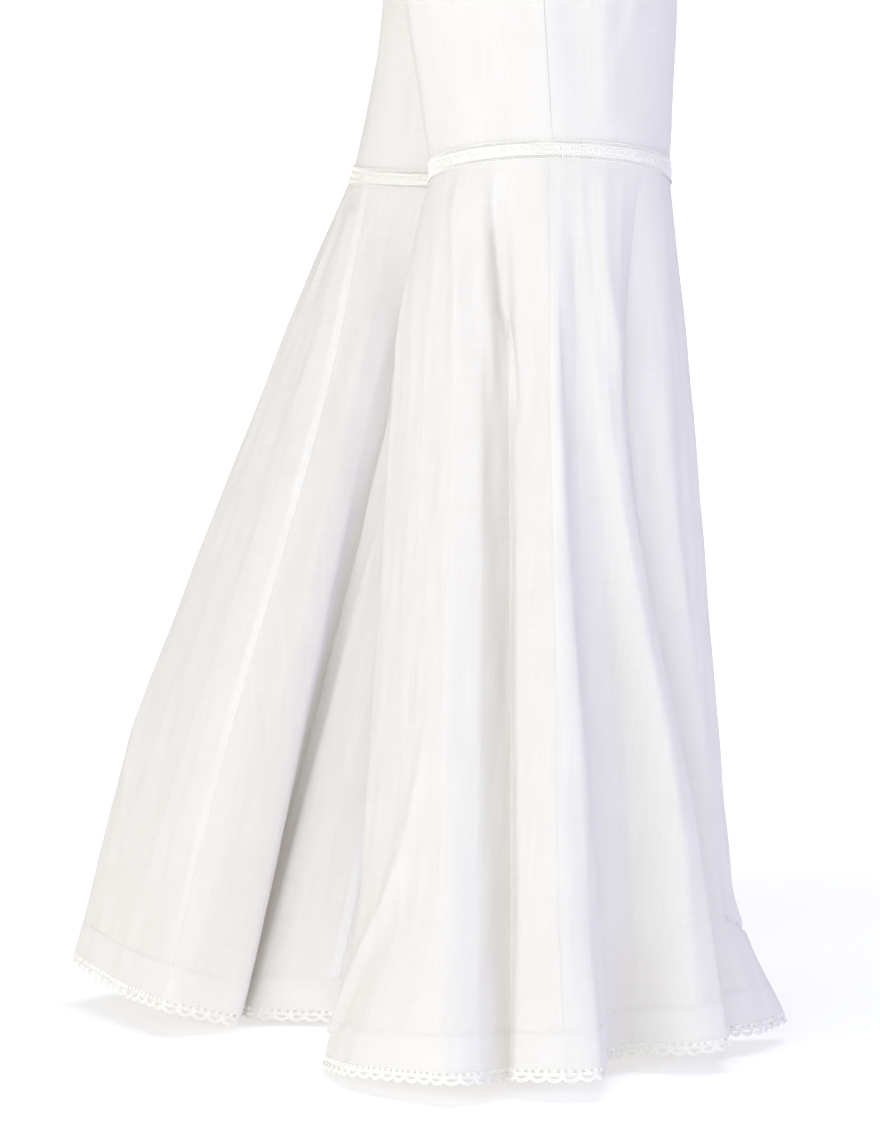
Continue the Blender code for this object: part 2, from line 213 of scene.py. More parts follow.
# %% Lights
DAYLIGHT = (0.90, 0.985, 1.15)
PLAIN_WHITE = (0.99, 0.99, 1.0)
WARM = (1.0, 0.95, 0.86)
COOL = (0.49, 0.54, 1.26)
ROOM_LIGHT = 0.27
ROOM_COLOUR = (0.94, 0.95, 1.02)
FLARES = (0.0, 0.06, -0.72)
HEM_MIDDLE = (0.0, 0.0, -1.0)
SOFTBOX = 1.5
CANOPY = 3.0
Light = namedtuple("Light", "name place aim size power colour")
LIGHTS = (
    Light("key softbox", (-3.49, 0.55, 0.0), FLARES, SOFTBOX, 33, DAYLIGHT),
    Light("left softbox", (-3.02, 1.95, -0.22), FLARES, SOFTBOX, 32, PLAIN_WHITE),
    Light("warm softbox", (0.62, 3.57, -0.22), FLARES, SOFTBOX, 12, WARM),
    Light("cool softbox", (-0.20, -3.50, -0.22), FLARES, SOFTBOX, 29, COOL),
    Light("top softbox", (0.0, 0.0, 2.6), HEM_MIDDLE, CANOPY, 42, PLAIN_WHITE),
)

for light in LIGHTS:
    lamp = bpy.data.lights.new(light.name, "AREA")
    lamp.shape = "RECTANGLE"
    lamp.size = lamp.size_y = light.size
    lamp.energy = light.power
    lamp.color = light.colour
    holder = bpy.data.objects.new(light.name, lamp)
    bpy.context.collection.objects.link(holder)
    holder.location = light.place
    aim = Vector(light.aim) - Vector(light.place)
    holder.rotation_euler = aim.to_track_quat("-Z", "Y").to_euler()

room = bpy.data.worlds.new("white room")
bpy.context.scene.world = room
room.use_nodes = True
background = room.node_tree.nodes["Background"]
background.inputs["Color"].default_value = (*ROOM_COLOUR, 1.0)
background.inputs["Strength"].default_value = ROOM_LIGHT
bpy.context.scene.view_settings.view_transform = "Standard"
print("lamps", [light.name for light in LIGHTS])

# %% [markdown]
# Smooth curves. Two kinds are needed, both on whole arrays at once, because a fine shell has tens of thousands of
# points. One runs down the cloth through stations and never overshoots them, which suits a kick at the hem. The other
# runs round the leg through the fold lines, and rounds each crest and valley.

# %% Curves on arrays


def through_stations(places, values, at, end_slope=END_SLOPE):
    """Values at the places at, through stations in rising order. values has a row for each station."""
    places, values, at = np.asarray(places, float), np.asarray(values, float), np.asarray(at, float)
    rises = np.diff(values, axis=0) / np.diff(places).reshape(-1, *[1] * (values.ndim - 1))
    before, after = rises[:-1], rises[1:]
    gentle = np.where(np.abs(before) <= np.abs(after), before, after)
    slopes = np.concatenate([rises[:1], np.where(before * after > 0, gentle, 0.0), rises[-1:] * end_slope])
    at = np.clip(at, places[0], places[-1])
    i = np.clip(np.searchsorted(places, at, side="right") - 1, 0, len(places) - 2)
    shape = (-1, *[1] * (values.ndim - 1))
    span = (places[i + 1] - places[i]).reshape(shape)
    t = (at - places[i]).reshape(shape) / span
    return (
        (2 * t**3 - 3 * t**2 + 1) * values[i]
        + (t**3 - 2 * t**2 + t) * span * slopes[i]
        + (3 * t**2 - 2 * t**3) * values[i + 1]
        + (t**3 - t**2) * span * slopes[i + 1]
    )


def round_the_lines(lines, along, crisp):
    """Points round a closed section, through lines[level, line, axis]. along counts lines. crisp is 0 for a smooth
    curve and 1 for flat cloth between the lines."""
    count = lines.shape[1]
    index = np.floor(along).astype(int)
    t = (along - index)[None, :, None]
    before, start, end, after = (lines[:, (index + step) % count] for step in (-1, 0, 1, 2))
    smooth = 0.5 * (
        2 * start
        + (end - before) * t
        + (2 * before - 5 * start + 4 * end - after) * t**2
        + (3 * start - before - 3 * end + after) * t**3
    )
    flat = start + (end - start) * t
    return smooth + (flat - smooth) * crisp[:, None, None]


# %% [markdown]
# Upper legs, the form. It could be cut from a body model, but a stack of ellipses with a few named sizes is enough:
# one for each height in the table above, with a smooth curve between them. From the crotch down a leg may also bend
# back and end in a slanting knee seam.

# %% Sections of an upper leg


def upper_leg_section(leg, heights):
    """The leg's axis (out, back), half width and half depth at each height."""
    table = np.array(sorted(UPPER_LEG))
    out, back, width, depth = through_stations(table[:, 0], table[:, 1:], heights).T
    below = np.clip((CROTCH_HEIGHT - heights) / (CROTCH_HEIGHT - KNEE_HEIGHT), 0.0, None)
    return out, back + LEGS[leg].set_back_at_knee * below**THIGH_BEND, width, depth


def knee_section(leg):
    """The leg's axis, half width and half depth at the knee."""
    return (value[0] for value in upper_leg_section(leg, np.array([KNEE_HEIGHT])))


def upper_leg_points(leg, heights, angles):
    """Points of an upper leg's middle surface. angles has a row for each height."""
    out, back, width, depth = (value[:, None] for value in upper_leg_section(leg, heights))
    turn = np.radians(angles)
    nearness = np.clip((heights - CROTCH_HEIGHT) / (KNEE_HEIGHT - CROTCH_HEIGHT), 0.0, None)[:, None]
    x = LEGS[leg].side * (out + width * np.cos(turn))
    y = back - depth * np.sin(turn)
    z = heights[:, None] + nearness * LEGS[leg].arch * np.cos(turn)
    return np.stack([x, y, z], axis=-1)


for leg in LEGS:
    print(leg, "knee", [round(float(value), 4) for value in knee_section(leg)])

# %% [markdown]
# Flares, the form. A flare could be simulated as cloth, but its folds would fall where they like. Here it follows its
# fold lines from the knee, and a line that swings out rises, because the cloth has one length all round. Just under
# the knee the section is smooth. Lower down the cloth is nearly flat from one line to the next, as it is in creased
# cotton.

# %% Sections of a flare
CRISPNESS = 0.6
CRISP_FROM = 0.16


def fold_lines(leg, downs):
    """Forward, outward and height of every fold line at each level. Cloth doesn't stretch, so a line that runs
    further out hangs less far down. One that would hang below the level of the hem is cut shorter."""
    folds = FOLDS[leg]
    turn = np.radians([fold[1] for fold in folds])
    places = np.array([fold[2:5] for fold in folds]) / 1000
    _, _, width, depth = knee_section(leg)
    swing = LEGS[leg].set_back_at_hem - LEGS[leg].set_back_at_knee
    levels = [0.0, HIGH, LOW, 1.0]
    seam_height = KNEE_HEIGHT + LEGS[leg].arch * np.cos(turn)
    stations = [np.stack([depth * np.sin(turn), width * np.cos(turn), seam_height], 1)]
    for k in range(3):
        share = levels[k + 1] - levels[k]
        above = stations[-1]
        forward, outward = places[:, k, 0], places[:, k, 1]
        reach = np.hypot(forward - above[:, 0] - swing * share, outward - above[:, 1])
        drop = np.sqrt((FLARE_LENGTH * share) ** 2 - reach**2)
        stations.append(np.stack([forward, outward, above[:, 2] - drop], 1))
    stations = np.stack(stations)
    knee = stations[0, :, 2].copy()
    shortened = np.minimum(1.0, (knee - HEM_LEVEL) / (knee - stations[-1, :, 2]))
    stations[..., 2] = knee + (stations[..., 2] - knee) * shortened
    return through_stations(levels, stations, downs)


def flare_points(leg, downs, along):
    """Points of a flare's middle surface, a row for each level."""
    crisp = CRISPNESS * np.clip(np.asarray(downs) / CRISP_FROM, 0, 1)
    forward, outward, height = np.moveaxis(round_the_lines(fold_lines(leg, downs), along, crisp), -1, 0)
    out, back, _, _ = knee_section(leg)
    swing = (LEGS[leg].set_back_at_hem - LEGS[leg].set_back_at_knee) * np.asarray(downs)[:, None]
    return np.stack([LEGS[leg].side * (out + outward), back + swing - forward, height], axis=-1)


# %% [markdown]
# A shell of cloth. Real cloth is a thin sheet with two faces and an edge. A single face would show no edge at a hem,
# so each piece is a closed shell, half a millimetre thick. It needs the way out of the cloth at each point, which is
# square to both the way across and the way down.

# %% The way out of the cloth


def across_the_cloth(points, side, closed):
    """The outward direction at each point of a grid."""
    if closed:
        across = np.roll(points, -1, axis=1) - np.roll(points, 1, axis=1)
    else:
        across = np.gradient(points, axis=1)
    down = np.gradient(points, axis=0)
    direction = np.cross(across, down) * side
    return direction / np.linalg.norm(direction, axis=-1, keepdims=True)


# %% [markdown]
# The shell also carries a flat map in metres, across and down the piece, as if it still lay on the cutting table. The
# weave and the seam allowances follow that map, and so run with the cloth through every fold.

# %% A closed shell
SHARP_EDGE = math.radians(60)


def shell(name, points, normals, thickness, side, flat, closed=False):
    """A closed shell on a grid of points. flat holds each column's and row's place on the flat cloth in metres, with
    one column more than the grid on a closed ring."""
    rows, columns = points.shape[:2]
    spans = columns if closed else columns - 1
    outer = points + normals * thickness / 2
    inner = points - normals * thickness / 2
    corners = np.concatenate([outer.reshape(-1, 3), inner.reshape(-1, 3)])
    i, j = (grid.ravel() for grid in np.mgrid[0 : rows - 1, 0:spans])
    k = (j + 1) % columns
    a, b, c, d = i * columns + j, i * columns + k, (i + 1) * columns + k, (i + 1) * columns + j
    under = rows * columns
    places = [(i, j), (i, j + 1), (i + 1, j + 1), (i + 1, j)]
    faces = [np.stack([a, b, c, d], 1), np.stack([a, d, c, b], 1) + under]
    maps = [np.stack([flat[p] for p in places], 1), np.stack([flat[places[n]] for n in (0, 3, 2, 1)], 1)]
    along = np.arange(spans)
    rims = [((row, along + 1), (row, along), order) for row, order in ((0, 1), (rows - 1, -1))]
    if not closed:
        along = np.arange(rows - 1)
        rims += [((along, column), (along + 1, column), order) for column, order in ((0, 1), (columns - 1, -1))]
    for first, second, order in rims:
        one, two = (row * columns + column % columns for row, column in (first, second))
        faces.append(np.stack([one, two, two + under, one + under], 1)[:, ::order])
        maps.append(np.stack([flat[p] for p in (first, second, second, first)], 1)[:, ::order])
    faces, maps = np.concatenate(faces), np.concatenate(maps)
    if side < 0:
        faces, maps = faces[:, ::-1], maps[:, ::-1]
    mesh = bpy.data.meshes.new(name)
    mesh.from_pydata(corners.tolist(), [], faces.tolist())
    layer = mesh.uv_layers.new(name="flat cloth")
    layer.data.foreach_set("uv", maps.reshape(-1).astype(np.float32))
    mesh.shade_smooth()
    mesh.set_sharp_from_angle(angle=SHARP_EDGE)
    piece = bpy.data.objects.new(name, mesh)
    bpy.context.collection.objects.link(piece)
    return piece


# %% [markdown]
# The flat map could come from Blender's unwrap, but its scale would differ from piece to piece. Measured along the rows
# and columns of the shaped cloth, it is in true metres, and its sums are the size of the cut.

# %% The flat map


def flat_places(points, closed=False):
    """Each point's place on the flat cloth, in metres across from the first column and down from the first row."""
    loop = np.concatenate([points, points[:, :1]], axis=1) if closed else points
    across = np.cumsum(np.linalg.norm(np.diff(loop, axis=1), axis=-1), axis=1)
    across = np.concatenate([np.zeros((len(points), 1)), across], axis=1)
    down = np.cumsum(np.linalg.norm(np.diff(loop, axis=0), axis=-1), axis=0)
    down = np.concatenate([np.zeros((1, loop.shape[1])), down], axis=0)
    return np.stack([across, down], axis=-1)


def size_of(points):
    """The width of each row and the length of each column, in metres."""
    return tuple(np.linalg.norm(np.diff(points, axis=axis), axis=-1).sum(axis=axis) for axis in (1, 0))


# %% [markdown]
# Creases. Fine cotton never hangs quite smoothly. Each crease below is listed: where it runs, how wide it is
# to each side and how high it stands, with a minus for a trough. Its section is a soft tent, so the cloth turns in
# two flat planes with a rounded edge between them, as creased cloth does. A ring of small gathers sits above and
# below the knee seam, where the wide flare is eased into the narrow leg.

# %% Creases of the upper legs
# name, line of (angle, height), width and height of the crease in mm, ends that fade
BOTH_ENDS = (True, True)
LOWER_END = (False, True)
UPPER_END = (True, False)
NO_END = (False, False)
UPPER_CREASES = {
    "right": (
        ("fold at the side seam", ((0, -0.24), (0, -0.36), (-1, -0.43), (-2, -0.484)), 20, 3.0, UPPER_END),
        ("front fold", ((20, -0.28), (24, -0.36), (26, -0.41), (23, -0.484)), 15, 2.2, UPPER_END),
        ("slanting fold", ((58, -0.34), (40, -0.40), (27, -0.441), (24, -0.46)), 8, 1.0, BOTH_ENDS),
        ("slanting trough", ((48, -0.36), (34, -0.40), (24, -0.430)), 6, -0.6, BOTH_ENDS),
        ("thin crease", ((-30, -0.39), (-26, -0.41), (-18, -0.456), (-16, -0.472)), 4, -0.45, BOTH_ENDS),
        ("back fold", ((-38, -0.26), (-40, -0.36), (-44, -0.484)), 14, 1.0, UPPER_END),
        ("back trough", ((-22, -0.30), (-24, -0.40), (-25, -0.48)), 9, -0.5, BOTH_ENDS),
        ("far back fold", ((-74, -0.24), (-72, -0.36), (-76, -0.484)), 16, 1.3, UPPER_END),
        ("seat fold", ((-100, -0.12), (-118, -0.20), (-140, -0.26)), 20, 2.2, BOTH_ENDS),
        ("hip fold", ((-20, -0.10), (-34, -0.19), (-52, -0.27)), 18, 1.4, BOTH_ENDS),
        ("groin fold", ((60, -0.13), (92, -0.21), (124, -0.27)), 18, 2.0, BOTH_ENDS),
        ("front of thigh", ((82, -0.26), (80, -0.36), (84, -0.484)), 16, 1.1, UPPER_END),
        ("inner thigh fold", ((150, -0.28), (138, -0.36), (132, -0.47)), 14, 1.2, BOTH_ENDS),
        ("inner back trough", ((-150, -0.29), (-138, -0.38), (-130, -0.47)), 12, -0.9, BOTH_ENDS),
    ),
    "left": (
        ("fold at the side seam", ((0, -0.22), (2, -0.35), (3, -0.484)), 18, 1.5, UPPER_END),
        ("front fold", ((34, -0.27), (30, -0.38), (32, -0.484)), 16, 1.3, UPPER_END),
        ("back of thigh", ((-96, -0.30), (-104, -0.40), (-110, -0.484)), 13, 1.1, UPPER_END),
        ("inner back trough", ((-124, -0.34), (-132, -0.40), (-142, -0.455)), 10, -1.0, BOTH_ENDS),
        ("thin crease", ((-112, -0.452), (-128, -0.462), (-146, -0.458)), 4, -0.4, BOTH_ENDS),
        ("seat fold", ((-92, -0.12), (-112, -0.20), (-138, -0.27)), 20, 2.2, BOTH_ENDS),
        ("hip fold", ((-26, -0.11), (-38, -0.20), (-58, -0.29)), 18, 1.5, BOTH_ENDS),
        ("groin fold", ((64, -0.14), (96, -0.22), (128, -0.275)), 18, 1.8, BOTH_ENDS),
        ("front of thigh", ((76, -0.24), (84, -0.35), (88, -0.484)), 15, 1.2, UPPER_END),
        ("outer back fold", ((-54, -0.28), (-50, -0.38), (-56, -0.484)), 15, 1.1, UPPER_END),
    ),
}

# %% [markdown]
# Creases of the flares. They run down the cloth beside the fold lines. The leading leg has a pinch under the knee, a
# sharp edge down its second lobe and a slant where the first lobe kicks out. On the trailing leg the floor of the
# deep valley is lifted, so that light reaches it.

# %% Creases of the flares
# name, line of (fold line, share of the way down), width and height in mm, ends that fade
FLARE_CREASES = {
    "right": (
        (
            "sharp edge of the second lobe",
            (
                (-0.1, 0.01), (-0.05, 0.09), (0.17, 0.17), (0.48, 0.27),
                (0.95, 0.44), (1.05, 0.60), (1.2, 0.73), (1.6, 0.94),
            ),
            15, 2.8, NO_END,
        ),
        ("pleat", ((18.9, 0.0), (18.7, 0.06), (19.1, 0.16), (19.2, 0.26)), 10, 2.3, LOWER_END),
        ("pinch", ((20.5, 0.05), (20.6, 0.10), (20.8, 0.170), (21.6, 0.23), (22.1, 0.32)), 5, -2.6, BOTH_ENDS),
        ("edge beside the pinch", ((19.7, 0.02), (20.0, 0.10), (20.3, 0.19), (20.5, 0.30)), 6, 1.4, LOWER_END),
        ("small gather", ((20.5, 0.02), (20.45, 0.07), (20.7, 0.13)), 4, -1.1, LOWER_END),
        ("wrinkle in the pleat", ((19.4, 0.085), (19.9, 0.105), (20.3, 0.115)), 3, -0.7, BOTH_ENDS),
        ("trough in front of the seam", ((0.5, 0.02), (0.75, 0.11), (1.3, 0.22), (1.5, 0.32)), 8, -1.7, LOWER_END),
        ("ridge in front of the seam", ((2.1, 0.0), (2.7, 0.11), (3.1, 0.20), (3.6, 0.36)), 9, 1.8, LOWER_END),
        ("front edge at the knee", ((3.6, 0.0), (3.85, 0.12), (4.5, 0.18), (5.2, 0.27)), 9, 2.2, LOWER_END),
        (
            "slant in the first lobe",
            ((18.6, 0.56), (18.44, 0.66), (18.1, 0.74), (17.3, 0.87), (17.0, 0.95)),
            17, 2.8, UPPER_END,
        ),
        ("first lobe, soft ridge", ((17.4, 0.10), (17.7, 0.30), (17.9, 0.52)), 13, 1.3, BOTH_ENDS),
        ("first lobe, soft trough", ((19.4, 0.36), (19.5, 0.55), (19.4, 0.75)), 12, -0.9, BOTH_ENDS),
        ("third lobe, ridge", ((3.7, 0.42), (3.9, 0.62), (4.1, 0.80), (4.2, 0.935)), 11, 1.7, UPPER_END),
        ("third lobe, trough", ((3.0, 0.40), (3.2, 0.62), (3.3, 0.80), (3.3, 0.90)), 9, -1.0, BOTH_ENDS),
        ("third lobe, small crease", ((2.95, 0.868), (3.15, 0.898), (3.3, 0.924)), 2.6, -0.55, BOTH_ENDS),
        ("hem crease", ((17.75, 0.905), (18.0, 0.915), (18.3, 0.923)), 3, -0.5, BOTH_ENDS),
        ("kick above the tip", ((6.6, 0.845), (7.4, 0.872), (8.0, 0.862)), 14, -2.2, BOTH_ENDS),
        ("front lobe, soft ridge", ((7.3, 0.12), (7.0, 0.40), (7.2, 0.78)), 15, 1.6, BOTH_ENDS),
        ("inner lobe, soft ridge", ((10.4, 0.05), (10.2, 0.30), (10.5, 0.62)), 14, 1.6, BOTH_ENDS),
        ("inner lobe, trough", ((12.4, 0.08), (12.6, 0.34), (12.5, 0.58)), 12, -1.5, BOTH_ENDS),
        ("inner back ridge", ((14.2, 0.04), (14.0, 0.26), (14.3, 0.55)), 13, 1.8, LOWER_END),
        ("back ridge", ((16.4, 0.0), (16.2, 0.20), (16.3, 0.46)), 14, 1.7, LOWER_END),
        ("back slant", ((15.6, 0.50), (16.2, 0.68), (16.9, 0.84)), 15, -1.5, BOTH_ENDS),
    ),
    "left": (
        ("first lobe, soft ridge", ((14.9, 0.04), (14.7, 0.30), (14.6, 0.62), (14.7, 0.90)), 18, 1.5, LOWER_END),
        ("first lobe, trough", ((13.5, 0.10), (13.3, 0.36), (13.1, 0.60)), 12, -1.2, BOTH_ENDS),
        ("first lobe, low ridge", ((13.7, 0.55), (13.5, 0.74), (13.6, 0.935)), 14, 1.5, UPPER_END),
        (
            "edge beside the deep valley",
            ((10.05, 0.12), (10.05, 0.40), (10.05, 0.70), (10.05, 1.0)),
            9, 2.2, BOTH_ENDS,
        ),
        ("floor of the deep valley", ((11.1, 0.12), (11.1, 0.40), (11.1, 0.70), (11.1, 0.90)), 19, 8.0, BOTH_ENDS),
        ("second lobe, crest", ((9.0, 0.25), (9.0, 0.60), (9.0, 1.0)), 24, 4.5, BOTH_ENDS),
        ("back gather", ((15.6, 0.0), (15.5, 0.08), (15.6, 0.18)), 7, 1.3, LOWER_END),
        ("inner gather", ((13.1, 0.0), (13.2, 0.06), (13.0, 0.15)), 6, -1.0, LOWER_END),
        ("back edge, slant", ((16.4, 0.52), (16.0, 0.70), (15.5, 0.86)), 18, 1.9, BOTH_ENDS),
        ("second lobe, soft ridge", ((8.1, 0.30), (8.3, 0.60), (8.2, 0.90)), 13, 1.5, BOTH_ENDS),
        ("outer lobe, ridge", ((0.4, 0.0), (0.3, 0.24), (0.5, 0.60)), 15, 1.8, LOWER_END),
        ("outer front trough", ((1.6, 0.04), (1.4, 0.26), (1.5, 0.48)), 11, -1.6, BOTH_ENDS),
        ("front lobe, ridge", ((4.2, 0.0), (4.4, 0.22), (4.3, 0.52)), 14, 1.8, LOWER_END),
        ("front slant", ((5.6, 0.48), (5.0, 0.66), (4.5, 0.84)), 16, -1.6, BOTH_ENDS),
        ("outer back ridge", ((18.6, 0.0), (18.4, 0.24), (18.6, 0.56)), 14, 1.7, LOWER_END),
        ("outer back slant", ((19.5, 0.50), (18.9, 0.70), (18.3, 0.86)), 15, 1.7, BOTH_ENDS),
    ),
}
for table in (UPPER_CREASES, FLARE_CREASES):
    print("creases", {leg: len(lines) for leg, lines in table.items()})

# %% [markdown]
# A crease's lift. Each row of the tables is worked out for all the points of a piece at once: how far a point is from
# the crease's line across the cloth, and how much of its height is left at this place along it.

# %% How a crease lifts the cloth
EDGE_RADIUS = 0.0012
END_FADE = 0.3
ROUNDING = 1e-9


def soft(value):
    """Runs smoothly from 0 to 1 as value does, and stays there beyond."""
    value = np.clip(value, 0, 1)
    return value * value * (3 - 2 * value)


def tent(distance, width):
    """A crease's section: 1 on its line, 0 at width to each side."""
    rounded = np.sqrt(distance**2 + EDGE_RADIUS**2) - EDGE_RADIUS
    return np.clip(1 - rounded / width, 0, 1) ** 1.5


def crease_lifts(rows, table, distance_from):
    """How far out the creases move each point. distance_from gives each point's distance from a line across it."""
    lift = 0.0
    for _, line, width, height, (start_fades, end_fades) in table:
        line = np.array(line)
        order = np.argsort(line[:, 1])
        centre = np.interp(rows, line[order, 1], line[order, 0])
        low, high = line[order[0], 1], line[order[-1], 1]
        share = (rows - low) / (high - low)
        inside = (share >= -ROUNDING) & (share <= 1 + ROUNDING)
        lower, upper = (start_fades, end_fades) if rows[0] < rows[-1] else (end_fades, start_fades)
        fade = (soft(share / END_FADE) if lower else 1.0) * (soft((1 - share) / END_FADE) if upper else 1.0)
        strength = np.where(inside, fade, 0.0)[:, None]
        lift = lift + height / 1000 * strength * tent(distance_from(centre), width / 1000)
    return lift


# %% [markdown]
# Gathers, seams and unevenness. These are too small and too many to place one by one, so each is a wave with another
# wave that makes it uneven. Elastic draws gathers at the waist, the wide flare is eased into the narrow leg at the
# knee, stitches pucker the cloth along a seam, and the whole cloth is faintly wavy. Under the lace the cloth is held
# flat.

# %% Gathers, seams and unevenness
WAIST_GATHERS = 46
WAIST_GATHER_HEIGHT = 0.0017
WAIST_GATHER_LENGTH = 0.075
KNEE_GATHER_LENGTH = 0.024
KNEE_GATHER_HEIGHT = 0.00045
CLOTH_WAVES = ((0.00030, 0.045, 0.24), (0.00022, 0.027, 0.13), (0.00016, 0.070, 0.075))
SEAM_DIP = 0.00035
SEAM_DIP_REACH = 0.0022
PUCKER = 0.00022
PUCKER_REACH = 0.007
PUCKER_PITCH = 0.0105
LEFT_AT_LACE = 0.22
LACE_HOLDS_TO = 0.007
FREE_AGAIN_IN = 0.016


def waist_gathers(turn):
    """The gathers that the waistband's elastic draws, from -1 to 1 round the waist."""
    return np.sin(turn * WAIST_GATHERS / 2 + 0.8 * np.sin(turn * 7)) * (0.75 + 0.25 * np.sin(turn * 3 + 1))


def waves(across, down, sizes):
    """Faint unevenness of the whole cloth. across and down are in metres."""
    lift = 0.0
    for number, (height, wide, long) in enumerate(sizes):
        bend = 0.7 * np.sin(down * 2 * math.pi / (long * 1.7) + number)
        sideways = np.sin(across * 2 * math.pi / wide + bend + 1.3 * number)
        lift = lift + height * sideways * np.sin(down * 2 * math.pi / long + 2.1 * number)
    return lift


def knee_gathers(leg, turn, distance):
    """Small uneven gathers at the knee seam. turn is the angle round it, distance how far above or below it."""
    uneven = np.sin(turn * 41 + 1.5 * np.sin(turn * 5 + LEGS[leg].side)) + 0.6 * np.sin(turn * 67 + 2.0)
    amount = 0.35 + 0.65 * soft(0.5 + 0.9 * np.sin(turn * 3 + 0.8 * LEGS[leg].side))
    return KNEE_GATHER_HEIGHT * uneven * amount * (1 - soft(distance / KNEE_GATHER_LENGTH))


def held_by_lace(distance):
    """The part of a crease's height left near the knee seam, where the lace holds the cloth."""
    return LEFT_AT_LACE + (1 - LEFT_AT_LACE) * soft((distance - LACE_HOLDS_TO) / FREE_AGAIN_IN)


def seam_puckers(distance, down):
    """The dip along a seam and the small puckers that its stitches draw."""
    near = np.exp(-((distance / SEAM_DIP_REACH) ** 2))
    around = np.exp(-((distance / PUCKER_REACH) ** 2))
    ripple = np.sin(down * 2 * math.pi / PUCKER_PITCH + 1.4 * np.sin(down * 31)) * (0.6 + 0.4 * np.sin(down * 17 + 1))
    return -SEAM_DIP * near + PUCKER * around * ripple


# %% [markdown]
# Upper legs. Each leg has a front and a back, joined by the side seam and the inseam, and the four meet in the middle
# seam above the crotch. A ring round one leg is an ellipse, and above the crotch it stops where it meets the other
# leg's, which draws the curve of the middle seam by itself. Elastic in the waistband draws the top into small
# gathers, which die out a hand's breadth lower.

# %% Upper legs
CLOTH = 0.0005
SEAM_GAP = 0.00012
PANEL_COLUMNS = 72
PANEL_ROWS = 160


def upper_panel(leg, front):
    """The front or the back of an upper leg, as its piece, its middle surface and its name."""
    top, bottom = -WAISTBAND_HEIGHT / 2, KNEE_HEIGHT
    heights = top + (bottom - top) * np.linspace(0, 1, PANEL_ROWS)
    heights = np.sort(np.append(heights, CROTCH_HEIGHT))[::-1]
    out, _, width, depth = upper_leg_section(leg, heights)
    meets = np.degrees(np.arccos(np.clip(-out / width, -1, 1)))
    meets = np.where(heights <= CROTCH_HEIGHT, 180.0, meets)
    trim = np.degrees(SEAM_GAP / 2 / depth)
    share = np.linspace(0, 1, PANEL_COLUMNS)[None, :]
    way = 1 if front else -1
    angles = way * (trim[:, None] + share * (meets - 2 * trim)[:, None])
    points = upper_leg_points(leg, heights, angles)
    side = LEGS[leg].side
    normals = across_the_cloth(points, side * way, False)

    radius = ((width + depth) / 2)[:, None]
    turn = np.radians(angles)
    down = (top - heights)[:, None] * np.ones_like(turn)

    def away(centre):
        return (turn - np.radians(centre)[:, None]) * radius

    above_knee = down[-1:] - down
    fade = 1 - soft(down / WAIST_GATHER_LENGTH)
    lift = crease_lifts(heights, UPPER_CREASES[leg], away)
    lift += waves(turn * radius + side, down, CLOTH_WAVES)
    lift += WAIST_GATHER_HEIGHT * fade * waist_gathers(turn)
    lift += knee_gathers(leg, turn, above_knee)
    lift += seam_puckers(np.abs(turn) * radius, down)
    lift += seam_puckers((np.radians(meets)[:, None] - np.abs(turn)) * radius, down)
    lift *= held_by_lace(above_knee)
    points = points + normals * lift[..., None]
    points[..., 0] = side * np.maximum(side * points[..., 0], CLOTH)
    normals = across_the_cloth(points, side * way, False)
    name = f"{leg}_{'front' if front else 'back'}"
    piece = shell(f"{name}_cloth", points, normals, CLOTH, side * way, flat_places(points))
    return piece, points, name


upper_pieces = {}
for leg in LEGS:
    for front in (True, False):
        piece, points, name = upper_panel(leg, front)
        upper_pieces[name] = (piece, points)
print("upper legs", round(time.time() - started, 1), "s")

# %% [markdown]
# Flares. Each is six gores. The columns of each gore are spread by the cloth's own width low down and not by angle, so
# a tight valley gets as many as a broad crest, and the first and last lie on the gore's seams.

# %% Columns of a flare
HEM_COLUMN = 0.0030
WIDTH_TAKEN_AT = (0.35, 0.85)


def columns_between(leg, first, last):
    """Places between two fold lines, evenly spread over the cloth's width at two levels. The hem sets how many."""
    fine = np.linspace(first, last, 400)
    rows = flare_points(leg, WIDTH_TAKEN_AT, fine)
    steps = np.linalg.norm(np.diff(rows, axis=1), axis=-1).mean(axis=0)
    width = np.concatenate([[0.0], np.cumsum(steps)])
    hem = size_of(flare_points(leg, [1.0], fine))[0].sum()
    count = max(6, round(hem / HEM_COLUMN))
    return np.interp(np.linspace(0, width[-1], count + 1), width, fine)


def ring_of(leg):
    """The ring's columns, and the column where each gore starts."""
    folds = FOLDS[leg]
    seams = [index for index, fold in enumerate(folds) if fold[-1]]
    spans = [columns_between(leg, a, b) for a, b in zip(seams, seams[1:] + [seams[0] + len(folds)])]
    starts = np.concatenate([[0], np.cumsum([len(span) - 1 for span in spans])])
    return np.concatenate([span[:-1] for span in spans]), starts


# %% [markdown]
# A whole flare with its creases. The ring is shaped first and parted into gores after, so that a crease runs on
# across a seam as it does in the real cloth.

# %% A flare with its creases
HEM_PUCKER = 0.00026
HEM_PUCKER_REACH = 0.011
HEM_PUCKER_PITCH = 0.0031
WAVES_FULL_FROM = 0.10
PUCKERS_FULL_FROM = 0.02


